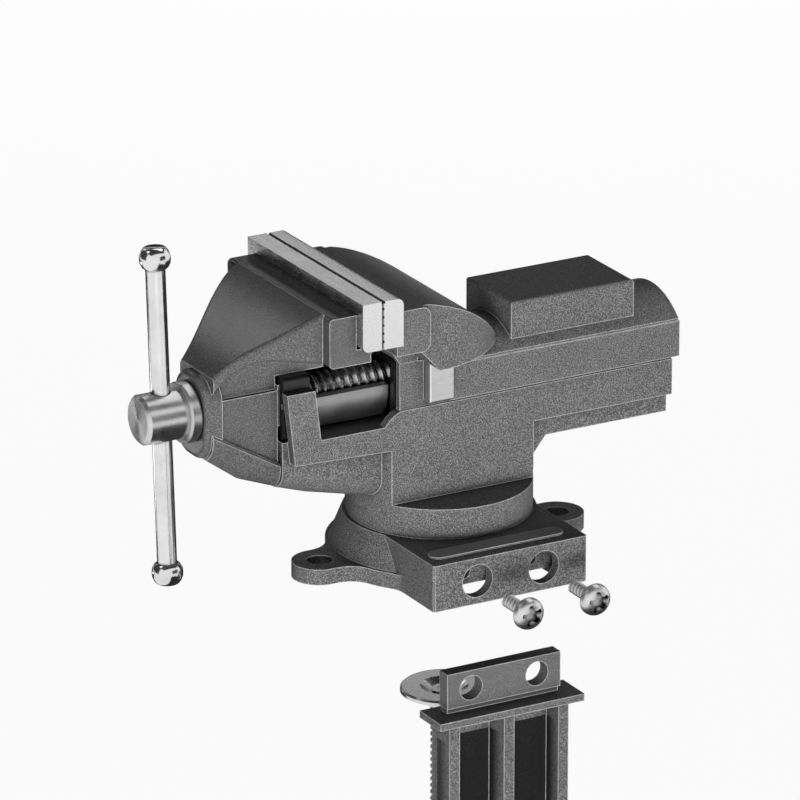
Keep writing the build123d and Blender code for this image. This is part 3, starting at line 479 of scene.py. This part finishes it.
@dataclass(frozen=True)
class Softbox:
    """One area lamp, aimed at the vise."""

    name: str
    place: tuple[float, float, float]
    size: tuple[float, float]
    watts: float
    mirrored: bool = True

    def build(self) -> None:
        """Makes the lamp."""
        data = bpy.data.lights.new(self.name, "AREA")
        data.shape = "RECTANGLE"
        data.energy = self.watts
        data.size, data.size_y = self.size
        lamp = bpy.data.objects.new(self.name, data)
        lamp.visible_glossy = self.mirrored
        lamp.location = self.place
        lamp.rotation_mode = "QUATERNION"
        lamp.rotation_quaternion = (LAMP_TARGET - Vector(self.place)).to_track_quat("-Z", "Y")
        bpy.context.scene.collection.objects.link(lamp)


@dataclass(frozen=True)
class Flag:
    """A grey card that only polished steel sees, lying near the floor or standing behind the vise."""

    name: str
    place: tuple[float, float, float]
    size: tuple[float, float]
    turn: float
    tone: float
    standing: bool = False

    def build(self) -> None:
        """Makes the card."""
        bpy.ops.object.select_all(action="DESELECT")
        tilt = math.radians(90.0 if self.standing else 0.0)
        bpy.ops.mesh.primitive_plane_add(size=1.0, location=self.place,
                                         rotation=(tilt, 0.0, math.radians(self.turn)))
        card = bpy.context.object
        card.name = self.name
        card.scale = (*self.size, 1.0)
        bpy.ops.object.transform_apply(location=True, rotation=True, scale=True)
        card.visible_camera = card.visible_diffuse = card.visible_shadow = card.visible_transmission = False
        g = Graph(self.name + "_cloth")
        glow = g.add("ShaderNodeEmission", None, {"Color": grey(self.tone), "Strength": 1.0})
        g.feed(g.tree.nodes["Material Output"], "Surface", glow.outputs[0])
        card.data.materials.append(g.material)


@dataclass
class Studio:
    """A plain pale floor, a white surround and soft lamps."""

    floor_height: float = -0.172
    floor_size: float = 9.0
    glow: float = 0.95
    surround: float = 0.025
    lamps: list[Softbox] = field(default_factory=lambda: [
        Softbox("key", (-0.70, -1.76, 0.03), (1.10, 0.34), 32.0, False),
        Softbox("low", (-0.93, -1.62, -0.04), (0.50, 0.20), 13.0, False),
        Softbox("hood", (-0.90, 0.35, 1.2), (0.40, 0.40), 0.7),
        Softbox("back", (1.0, 1.75, -0.02), (1.0, 0.24), 26.0, False),
        Softbox("right", (1.95, -0.35, -0.04), (0.8, 0.22), 20.0, False),
    ])
    flags: list[Flag] = field(default_factory=lambda: [
        Flag("back_flag", (0.342, 0.61, -0.168), (2.2, 1.2), -29.3, 0.02),
        Flag("front_flag", (0.045, -0.25, -0.167), (0.39, 0.74), 0.0, 0.03),
        Flag("right_flag", (0.47, -0.36, -0.168), (0.7, 0.20), -34.0, 0.14),
        Flag("sky_flag", (1.22, 2.18, 0.95), (4.4, 2.2), -29.3, 0.02, True),
        Flag("sky_strip", (1.20, 2.14, 1.06), (4.0, 0.32), -29.3, 0.85, True),
        Flag("left_flag", (-1.7, 1.3, 0.95), (3.2, 2.2), 50.0, 0.05, True),
        Flag("roof_flag", (0.0, 0.4, 2.05), (5.0, 4.0), 0.0, 0.05),
        Flag("roof_strip", (1.05, 0.85, 2.0), (0.9, 2.5), 0.0, 1.6),
        Flag("near_flag", (0.70, -1.27, 0.42), (1.3, 0.74), 28.7, 0.08, True),
        Flag("face_card", (-0.45, 0.58, -0.165), (0.34, 0.19), 0.0, 2.2),
        Flag("hood_card", (-0.55, 2.0, 1.36), (0.26, 0.70), 15.0, 3.2, True),
        Flag("line_flag", (-0.02, -0.66, -0.166), (0.07, 0.75), 11.0, 0.03),
    ])

    def build(self) -> None:
        """Makes the floor, the world, the lamps and the cards."""
        bpy.context.scene.view_settings.view_transform = "Standard"
        self.floor()
        self.world()
        for lamp in self.lamps:
            lamp.build()
        for flag in self.flags:
            flag.build()

    def floor(self) -> None:
        """Makes the floor, white to the camera and to reflections, with the object's shadow kept."""
        bpy.ops.object.select_all(action="DESELECT")
        bpy.ops.mesh.primitive_plane_add(size=self.floor_size, location=(0.0, 0.0, self.floor_height))
        floor = bpy.context.object
        floor.name = "floor"
        bpy.ops.object.transform_apply(location=True)
        g = Graph("floor_paper")
        g.shine(Base_Color=g.blend(g.noise(0.4, 2.0), grey(0.84), grey(0.88)), Roughness=0.9)
        glow = g.add("ShaderNodeEmission", None, {"Color": grey(1.0), "Strength": 1.0})
        mix = g.add("ShaderNodeMixShader", None, {
            0: g.maths("MULTIPLY", seen_directly(g.tree), self.glow), 1: g.shader.outputs[0],
            2: glow.outputs[0]})
        g.feed(g.tree.nodes["Material Output"], "Surface", mix.outputs[0])
        floor.data.materials.append(g.material)

    def world(self) -> None:
        """Makes the surround: white where it is seen, softer where it lights the object."""
        world = bpy.data.worlds.new("surround")
        bpy.context.scene.world = world
        world.use_nodes = True
        tree = world.node_tree
        soft = tree.nodes["Background"]
        soft.inputs["Color"].default_value = grey(1.0)
        soft.inputs["Strength"].default_value = self.surround
        white = tree.nodes.new("ShaderNodeBackground")
        white.inputs["Color"].default_value = grey(1.0)
        mix = tree.nodes.new("ShaderNodeMixShader")
        tree.links.new(seen_directly(tree), mix.inputs[0])
        tree.links.new(soft.outputs[0], mix.inputs[1])
        tree.links.new(white.outputs[0], mix.inputs[2])
        tree.links.new(mix.outputs[0], tree.nodes["World Output"].inputs["Surface"])


# ------------------------------------------------------------------------------ finishes in use
class Finishes:
    """Every finish of the vise, made once."""

    def __init__(self) -> None:
        """Makes the materials."""
        spindle_centre = (0.0, 0.0, 85.0 * MM)
        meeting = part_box("front_jaw_plate")[1]
        self.body = CastPaint("body_coat", 0.14, pebble=1.0 * MM).make()
        self.jaw = CastPaint("jaw_coat", 0.11, pebble=0.9 * MM, relief=0.06 * MM, speckle=0.4,
                             roughness=0.17).make()
        # The base is lighter above 21.2 mm.
        self.base = CastPaint("base_coat", 0.14, pebble=1.0 * MM, lighter_above=21.2 * MM).make()
        # The bracket's channels get painted shade towards their floor.
        self.bracket = CastPaint("bracket_coat", 0.14, pebble=0.9 * MM, channel_floor=-50.5 * MM,
                                 channel_top=-62.0 * MM).make()
        self.plate = BareSteel("ground_plate", 0.95, 0.25, (1.0, 0.06, 1.0), relief=0.0015 * MM,
                               seam=(meeting.x, meeting.z - 0.95 * MM)).make()
        self.key = BareSteel("milled_key", 0.86, 0.32, (0.1, 1.0, 1.0)).make()
        self.nut = BareSteel("nut_steel", 0.62, 0.42, (0.05, 1.0, 1.0)).make()
        self.slide = BareSteel("blued_slide", 0.10, 0.45, (0.05, 1.0, 1.0)).make()
        self.spindle = TurnedSteel("turned_spindle", 0.72, 0.26, spindle_centre).make()
        # The thread and the screws get a longer reach of painted shade in their roots.
        self.thread = BareSteel("cut_thread", 0.72, 0.24, (0.3, 1.0, 1.0), shade_reach=3.0 * MM).make()
        self.collar = TurnedSteel("turned_collar", 0.62, 0.30, spindle_centre, pitch=0.45 * MM).make()
        self.chrome = BareSteel("handle_chrome", 0.80, 0.16, (1.0, 1.0, 0.08), relief=0.002 * MM).make()
        self.zinc = BareSteel("bright_zinc", 0.74, 0.24, relief=0.003 * MM).make()
        self.screw = BareSteel("screw_zinc", 0.80, 0.36, relief=0.003 * MM, shade_reach=2.2 * MM).make()

    def dress(self, finish: bpy.types.Material, *nodes: str) -> None:
        """Gives a finish to CAD nodes.

        Args:
            finish: The material.
            nodes: The nodes' names.
        """
        for name in nodes:
            for slot in NODES[name].material_slots:
                slot.material = finish
            LOG.info("dressed %s with %s", name, finish.name)


# ------------------------------------------------------------------------------ modelling steps
def clear() -> None:
    """Leaves edit mode and deselects everything."""
    if bpy.context.object is not None and bpy.context.object.mode != "OBJECT":
        bpy.ops.object.mode_set(mode="OBJECT")
    bpy.ops.object.select_all(action="DESELECT")


def hold(piece: bpy.types.Object) -> None:
    """Selects one piece alone and makes it the active one."""
    clear()
    piece.select_set(True)
    bpy.context.view_layer.objects.active = piece


def smooth(piece: bpy.types.Object, angle: float = 35.0) -> None:
    """Shades a piece smooth.

    Args:
        piece: The piece.
        angle: The angle in degrees past which an edge stays sharp.
    """
    hold(piece)
    bpy.ops.object.shade_smooth_by_angle(angle=math.radians(angle))


def pick(piece: bpy.types.Object, kind: Element, wanted: Callable[[int], bool]) -> None:
    """Selects some vertices or edges of a piece and stays in edit mode.

    Args:
        piece: The piece.
        kind: What is selected.
        wanted: Tells from an element's number whether it is selected.
    """
    hold(piece)
    bpy.ops.object.mode_set(mode="EDIT")
    bpy.ops.mesh.select_mode(type=kind.value)
    bpy.ops.mesh.select_all(action="DESELECT")
    bpy.ops.object.mode_set(mode="OBJECT")
    for element in piece.data.vertices if kind is Element.VERTEX else piece.data.edges:
        element.select = wanted(element.index)
    bpy.ops.object.mode_set(mode="EDIT")


def settle(piece: bpy.types.Object, axis: tuple[float, float, float],
           place: tuple[float, float, float]) -> None:
    """Turns a piece that was built along +Z, moves it and applies both.

    Args:
        piece: The piece.
        axis: Where its +Z goes.
        place: Where its origin goes.
    """
    hold(piece)
    piece.rotation_mode = "QUATERNION"
    piece.rotation_quaternion = Vector(axis).to_track_quat("Z", "Y")
    piece.location = place
    bpy.ops.object.transform_apply(location=True, rotation=True, scale=True)


def face_out() -> None:
    """Turns all faces outward, in edit mode."""
    bpy.ops.mesh.select_all(action="SELECT")
    bpy.ops.mesh.normals_make_consistent(inside=False)


def turned(name: str, stations: list[tuple[float, float]], axis: tuple[float, float, float],
           place: tuple[float, float, float], sides: int = 72) -> bpy.types.Object:
    """Models a solid of revolution from a disc that is extruded and scaled from station to station.

    Args:
        name: The piece's name.
        stations: Its distance along the axis and its radius, at each step.
        axis: The direction that it is built along.
        place: Where the first distance is counted from.
        sides: The sides of its circle.

    Returns:
        The closed piece.
    """
    clear()
    along, radius = stations[0]
    bpy.ops.mesh.primitive_circle_add(vertices=sides, radius=radius, fill_type="NGON",
                                      location=(0.0, 0.0, along))
    piece = bpy.context.object
    piece.name = name
    bpy.ops.object.transform_apply(location=True)
    bpy.ops.object.mode_set(mode="EDIT")
    bpy.ops.mesh.select_all(action="SELECT")
    for next_along, next_radius in stations[1:]:
        step = (0.0, 0.0, next_along - along)
        bpy.ops.mesh.extrude_region_move(TRANSFORM_OT_translate={"value": step})
        share = next_radius / radius
        bpy.ops.transform.resize(value=(share, share, 1.0), center_override=(0.0, 0.0, next_along))
        along, radius = next_along, next_radius
    face_out()
    bpy.ops.object.mode_set(mode="OBJECT")
    settle(piece, axis, place)
    smooth(piece)
    return piece


def threaded(name: str, root: float, crest: float, pitch: float, length: float,
             axis: tuple[float, float, float], place: tuple[float, float, float],
             steps: int = 32) -> bpy.types.Object:
    """Models a threaded rod, cut square at both ends.

    Args:
        name: The piece's name.
        root: The radius between the threads.
        crest: The radius over the threads.
        pitch: The distance from thread to thread.
        length: The rod's length.
        axis: The direction that it runs in.
        place: Its first end.
        steps: The steps of one turn.

    Returns:
        The closed piece.
    """
    clear()
    outline = ((root, 0.0), (crest, 0.34), (crest, 0.52), (root, 0.86), (root, 1.0))
    bpy.ops.mesh.primitive_circle_add(vertices=len(outline), radius=crest, fill_type="NOTHING")
    piece = bpy.context.object
    piece.name = name
    for vertex, (radius, share) in zip(piece.data.vertices, outline):
        vertex.co = (radius, 0.0, share * pitch)
    closing = {0, len(outline) - 1}
    pick(piece, Element.EDGE, lambda index: set(piece.data.edges[index].vertices) == closing)
    bpy.ops.mesh.delete(type="EDGE")
    bpy.ops.object.mode_set(mode="OBJECT")
    screw = piece.modifiers.new("thread", "SCREW")
    screw.screw_offset = pitch
    screw.iterations = math.ceil(length / pitch) + 2
    screw.steps = screw.render_steps = steps
    bpy.ops.object.modifier_apply(modifier="thread")
    bpy.ops.object.mode_set(mode="EDIT")
    bpy.ops.mesh.select_mode(type="VERT")
    bpy.ops.mesh.select_all(action="SELECT")
    bpy.ops.mesh.remove_doubles(threshold=MERGE)
    start = 1.5 * pitch
    for height, outer in ((start, False), (start + length, True)):
        bpy.ops.mesh.select_all(action="SELECT")
        bpy.ops.mesh.bisect(plane_co=(0.0, 0.0, height), plane_no=(0.0, 0.0, 1.0), use_fill=True,
                            clear_inner=not outer, clear_outer=outer)
    bpy.ops.mesh.select_all(action="SELECT")
    bpy.ops.transform.translate(value=(0.0, 0.0, -start))
    face_out()
    bpy.ops.object.mode_set(mode="OBJECT")
    settle(piece, axis, place)
    smooth(piece, 28.0)
    return piece


def star(outer: float, inner: float, points: int, depth: float,
         axis: tuple[float, float, float], place: tuple[float, float, float]) -> bpy.types.Object:
    """Models a star-shaped cutter.

    Args:
        outer: The radius of its points.
        inner: The radius between them.
        points: The number of points.
        depth: Its length along the axis.
        axis: The direction that it cuts in.
        place: The middle of its near end.

    Returns:
        The closed cutter.
    """
    clear()
    bpy.ops.mesh.primitive_circle_add(vertices=4 * points, radius=outer, fill_type="NGON")
    piece = bpy.context.object
    pick(piece, Element.VERTEX, lambda index: index % 4 >= 2)
    share = inner / outer
    bpy.ops.transform.resize(value=(share, share, 1.0), center_override=(0.0, 0.0, 0.0))
    bpy.ops.mesh.select_all(action="SELECT")
    bpy.ops.mesh.extrude_region_move(TRANSFORM_OT_translate={"value": (0.0, 0.0, depth)})
    face_out()
    bpy.ops.object.mode_set(mode="OBJECT")
    settle(piece, axis, place)
    return piece


def bar(size: tuple[float, float, float], centre: tuple[float, float, float],
        turn: tuple[float, float, float] = (0.0, 0.0, 0.0)) -> bpy.types.Object:
    """Models a square cutter.

    Args:
        size: Its lengths.
        centre: Its middle.
        turn: Its turn about each axis, in degrees.

    Returns:
        The closed cutter.
    """
    clear()
    bpy.ops.mesh.primitive_cube_add(size=1.0, location=centre, scale=size,
                                    rotation=tuple(math.radians(a) for a in turn))
    piece = bpy.context.object
    bpy.ops.object.transform_apply(location=True, rotation=True, scale=True)
    return piece


def joined(pieces: list[bpy.types.Object]) -> bpy.types.Object:
    """Joins pieces.

    Args:
        pieces: The pieces.

    Returns:
        The first one, which now holds them all.
    """
    hold(pieces[0])
    for piece in pieces[1:]:
        piece.select_set(True)
    bpy.ops.object.join()
    return pieces[0]


def cut(piece: bpy.types.Object, cutter: bpy.types.Object) -> None:
    """Cuts a piece.

    Args:
        piece: The piece.
        cutter: The cutter, which is removed.
    """
    hold(piece)
    step = piece.modifiers.new("cut", "BOOLEAN")
    step.operation = "DIFFERENCE"
    step.solver = "EXACT"
    step.object = cutter
    step.use_self = True
    bpy.ops.object.modifier_apply(modifier="cut")
    bpy.data.objects.remove(cutter)


def copied(name: str, node: str) -> bpy.types.Object:
    """Copies a CAD node and merges its triangles, so that it can be cut.

    Args:
        name: The copy's name.
        node: The CAD node.

    Returns:
        The copy.
    """
    piece = bpy.data.objects.new(name, NODES[node].data.copy())
    bpy.context.scene.collection.objects.link(piece)
    hold(piece)
    bpy.ops.mesh.customdata_custom_splitnormals_clear()
    bpy.ops.object.mode_set(mode="EDIT")
    bpy.ops.mesh.select_all(action="SELECT")
    bpy.ops.mesh.remove_doubles(threshold=MERGE)
    bpy.ops.mesh.dissolve_limited(angle_limit=math.radians(0.5))
    bpy.ops.object.mode_set(mode="OBJECT")
    return piece


def fit(piece: bpy.types.Object, body: str, slot: str, finish: bpy.types.Material, *nodes: str) -> None:
    """Gives a piece its finish and its body, and hides the nodes that it stands for.

    Args:
        piece: The piece.
        body: The CAD body that it rides on.
        slot: Not used.
        finish: Its material.
        nodes: The CAD nodes that it replaces.
    """
    piece.data.materials.clear()
    piece.data.materials.append(finish)
    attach(piece, body)
    if nodes:
        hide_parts(*nodes)
    LOG.info("%s: %d faces on %s", piece.name, len(piece.data.polygons), body)


# ------------------------------------------------------------------------------ sub-assemblies
@dataclass
class SpindleSet:
    """The main screw: a turned head and shank, and the thread that runs through the half nut."""

    thread_start: float = -76.5 * MM
    pitch: float = 4.0 * MM
    thread_depth: float = 1.25 * MM
    shank: float = 8.0 * MM
    head_length: float = 20.0 * MM
    clearance: float = 0.02 * MM
    rim: float = 0.9 * MM
    chamfer: float = 0.4 * MM
    groove: float = 0.5 * MM
    groove_near: float = 2.5 * MM
    groove_far: float = 1.9 * MM
    hole: float = 4.45 * MM
    knob_radius: float = 6.65 * MM
    knob_height: float = 9.1 * MM

    def build(self, looks: Finishes) -> None:
        """Models the screw and dresses its collar and ring; the groove runs round the head's end.

        Args:
            looks: The finishes.
        """
        low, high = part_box("spindle")
        radius, height = (high.z - low.z) / 2, (high.z + low.z) / 2
        start = (low.x, 0.0, height)
        head = turned("spindle_head", [
            (0.0, radius - 2 * self.rim), (0.35 * MM, radius - 1.5 * self.rim),
            (0.36 * MM, radius - 1.25 * self.rim), (1.5 * MM, radius),
            (self.head_length - self.groove_near - STEP, radius),
            (self.head_length - self.groove_near, radius - self.groove),
            (self.head_length - self.groove_far, radius - self.groove),
            (self.head_length - self.groove_far + STEP, radius),
            (self.head_length - self.chamfer, radius),
            (self.head_length, radius - self.chamfer), (self.head_length, self.shank),
            (self.thread_start - low.x - self.thread_depth, self.shank),
            (self.thread_start - low.x, self.shank - self.thread_depth)], Axis.X.value, start, 96)
        upper, lower = (sum(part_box(n), Vector()) / 2 for n in ("upper_knob", "lower_knob"))
        along = (upper - lower).normalized()
        middle = (upper + lower) / 2
        reach = 2 * radius
        cut(head, turned("bore", [(-reach, self.hole), (reach, self.hole)], tuple(along), tuple(middle)))
        smooth(head)
        fit(head, "spindle_set", "spindle_steel", looks.spindle, "spindle")
        thread = threaded("spindle_thread", self.shank - self.thread_depth, self.shank - self.clearance,
                          self.pitch, high.x - self.thread_start, Axis.X.value,
                          (self.thread_start, 0.0, height))
        fit(thread, "spindle_set", "spindle_steel", looks.thread)
        looks.dress(looks.collar, "thrust_collar", "retaining_ring")
        self.handle(looks, along, upper, lower)

    def handle(self, looks: Finishes, along: Vector, upper: Vector, lower: Vector) -> None:
        """Models the two knobs, as flattened balls with flat ends, and dresses the bar.

        Args:
            looks: The finishes.
            along: The direction of the bar.
            upper: The middle of the upper knob.
            lower: The middle of the lower knob.
        """
        shape = [(-1.0, 0.72), (-0.86, 0.84), (-0.5, 0.965), (-0.1, 1.0),
                 (0.3, 0.975), (0.66, 0.87), (0.9, 0.74), (1.0, 0.64)]
        stations = [(height * self.knob_height / 2, share * self.knob_radius) for height, share in shape]
        for name, side, middle in (("upper_knob", 1, upper), ("lower_knob", -1, lower)):
            ball = turned(name.replace("knob", "ball"), stations, tuple(along * side), tuple(middle), 48)
            smooth(ball, 50.0)
            fit(ball, "handle", "handle_chrome", looks.chrome, name)
        looks.dress(looks.chrome, "handle_bar")


@dataclass
class MountingScrews:
    """The two loose screws: domed heads with a star recess, on threaded shanks."""

    pitch: float = 2.4 * MM
    thread_depth: float = 0.85 * MM
    shank: float = 2.98 * MM
    recess: float = 4.7 * MM
    recess_inner: float = 2.9 * MM
    recess_points: int = 5
    recess_depth: float = 3.2 * MM
    seat: float = 5.4 * MM
    rim: float = 0.9 * MM
    rim_chamfer: float = 0.35 * MM
    dome_steps: int = 8
    dome_turn: float = 11.0
    overlap: float = 0.6 * MM
    tip_start: float = 1.2 * MM
    tip_length: float = 1.1 * MM

    def build(self, looks: Finishes) -> None:
        """Models both screws. The last step of the dome reaches the height of the crown.

        Args:
            looks: The finishes.
        """
        low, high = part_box("mounting_screws")
        radius, height = (high.z - low.z) / 2, (high.z + low.z) / 2
        dome = [(0.0, radius - self.rim_chamfer), (self.rim_chamfer, radius)]
        crown = self.seat - self.rim
        last = math.radians((self.dome_steps - 1) * self.dome_turn)
        for step in range(self.dome_steps):
            angle = math.radians(step * self.dome_turn)
            dome.append((self.rim + crown * math.sin(angle) / math.sin(last),
                         radius * math.cos(angle) ** 0.8))
        toward = (0.0, -1.0, 0.0)
        root = self.shank - self.thread_depth
        for name, across in (("left_screw", low.x + radius), ("right_screw", high.x - radius)):
            head = turned(name, dome, toward, (across, low.y + self.seat, height), 64)
            cut(head, star(self.recess, self.recess_inner, self.recess_points, 2 * self.recess_depth,
                           toward, (across, low.y + self.recess_depth, height)))
            rod = threaded(name + "_shank", root, self.shank, self.pitch,
                           high.y - low.y - self.seat - self.overlap, Axis.Y.value,
                           (across, low.y + self.seat - self.overlap, height), 24)
            tip = turned(name + "_tip", [(0.0, root - 0.05 * MM), (self.tip_length, root - 0.6 * MM)],
                         Axis.Y.value, (across, high.y - self.tip_start, height), 24)
            screw = joined([head, rod, tip])
            smooth(screw, 40.0)
            fit(screw, "screws", "zinc_steel", looks.screw, "mounting_screws")


@dataclass
class TableClamp:
    """The clamp's screw, with its thread, its hub and the stud that carries the pad."""

    pitch: float = 3.0 * MM
    thread_depth: float = 1.0 * MM
    hub_height: float = 16.0 * MM
    hub_edge: float = 0.9 * MM
    screw: float = 5.98 * MM
    hole: float = 3.8 * MM
    stud: float = 3.0 * MM
    stud_tip: float = 2.6 * MM
    stud_lap: float = 1.0 * MM

    def build(self, looks: Finishes) -> None:
        """Models the hub, the thread and the stud, which starts inside the thread.

        Args:
            looks: The finishes.
        """
        low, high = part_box("clamp_screw")
        hub = (high.x - low.x) / 2
        across = (low.y + high.y) / 2
        pad_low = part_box("pressure_pad")[0]
        top = pad_low.z - STEP
        base = turned("clamp_screw_hub", [
            (0.0, hub - self.hub_edge), (self.hub_edge, hub), (self.hub_height - self.hub_edge, hub),
            (self.hub_height, hub - self.hub_edge)], Axis.Z.value, (0.0, across, low.z), 64)
        bar_low, bar_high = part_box("clamp_bar")
        cut(base, turned("bore", [(-2 * hub, self.hole), (2 * hub, self.hole)], Axis.X.value,
                         (0.0, across, (bar_low.z + bar_high.z) / 2)))
        smooth(base)
        fit(base, "clamp_spindle", "zinc_steel", looks.zinc, "clamp_screw")
        start = low.z + self.hub_height - self.hub_edge
        thread = threaded("clamp_screw_thread", self.screw - self.thread_depth, self.screw, self.pitch,
                          top - start, Axis.Z.value, (0.0, across, start), 28)
        fit(thread, "clamp_spindle", "zinc_steel", looks.zinc)
        reach = high.z - top + self.stud_lap
        stud = turned("clamp_screw_stud",
                      [(0.0, self.stud), (reach - STEP, self.stud), (reach, self.stud_tip)],
                      Axis.Z.value, (0.0, across, top - self.stud_lap), 32)
        fit(stud, "clamp_spindle", "zinc_steel", looks.zinc)


@dataclass
class JawPlates:
    """The two pale plates, with grooves across their gripping faces."""

    groove: float = 0.75 * MM
    rows: int = 5
    row_step: float = 3.7 * MM
    column_step: float = 5.0 * MM
    seam: float = 0.9 * MM

    def build(self, looks: Finishes) -> None:
        """Cuts the grooves into copies of the CAD plates.

        Args:
            looks: The finishes.
        """
        for node, body, face in (("front_jaw_plate", "moving_jaw", 1), ("rear_jaw_plate", "body", 0)):
            low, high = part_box(node)
            plate = copied(node.replace("plate", "grip"), node)
            x = (low, high)[face].x
            middle = (low + high) / 2
            width = high.y - low.y
            height = high.z - low.z
            level = (0, SQUARE, 0)
            upright = (0, 0, SQUARE)
            cutters = []
            for row in range(self.rows):
                z = middle.z + (row - (self.rows - 1) / 2) * self.row_step
                size = (self.groove, width + 4 * MM, self.groove)
                cutters.append(bar(size, (x, middle.y, z), level))
            columns = int(width / self.column_step) - 1
            for column in range(columns):
                y = middle.y + (column - (columns - 1) / 2) * self.column_step
                size = (self.groove, self.groove, height - 3 * MM)
                cutters.append(bar(size, (x, y, middle.z), upright))
            for y in (low.y, high.y):
                size = (self.seam, self.seam, height + 4 * MM)
                cutters.append(bar(size, (x, y, middle.z), upright))
            cutters.append(bar((self.seam, width + 4 * MM, self.seam), (x, middle.y, high.z), level))
            cut(plate, joined(cutters))
            smooth(plate, 30.0)
            fit(plate, body, "jaw_steel", looks.plate, node)


def main() -> None:
    """Builds the studio and the vise."""
    logging.basicConfig(level=logging.INFO, format="%(name)s: %(message)s")
    View().build()
    Studio().build()
    looks = Finishes()
    for finish, node in ((looks.body, "vise_body"), (looks.jaw, "front_jaw"), (looks.base, "swivel_base"),
                         (looks.bracket, "clamp_bracket"), (looks.key, "guide_keys"),
                         (looks.nut, "half_nut"), (looks.slide, "slide_channel")):
        looks.dress(finish, node)
    looks.dress(looks.chrome, "clamp_bar", "clamp_bar_ends")
    looks.dress(looks.zinc, "pressure_pad", "pad_retainer", "swivel_bolt", "swivel_washer",
                "rear_jaw_screws", "front_jaw_screws", "slide_screws")
    for assembly in (SpindleSet(), JawPlates(), MountingScrews(), TableClamp()):
        assembly.build(looks)


if __name__ == "__main__":
    main()
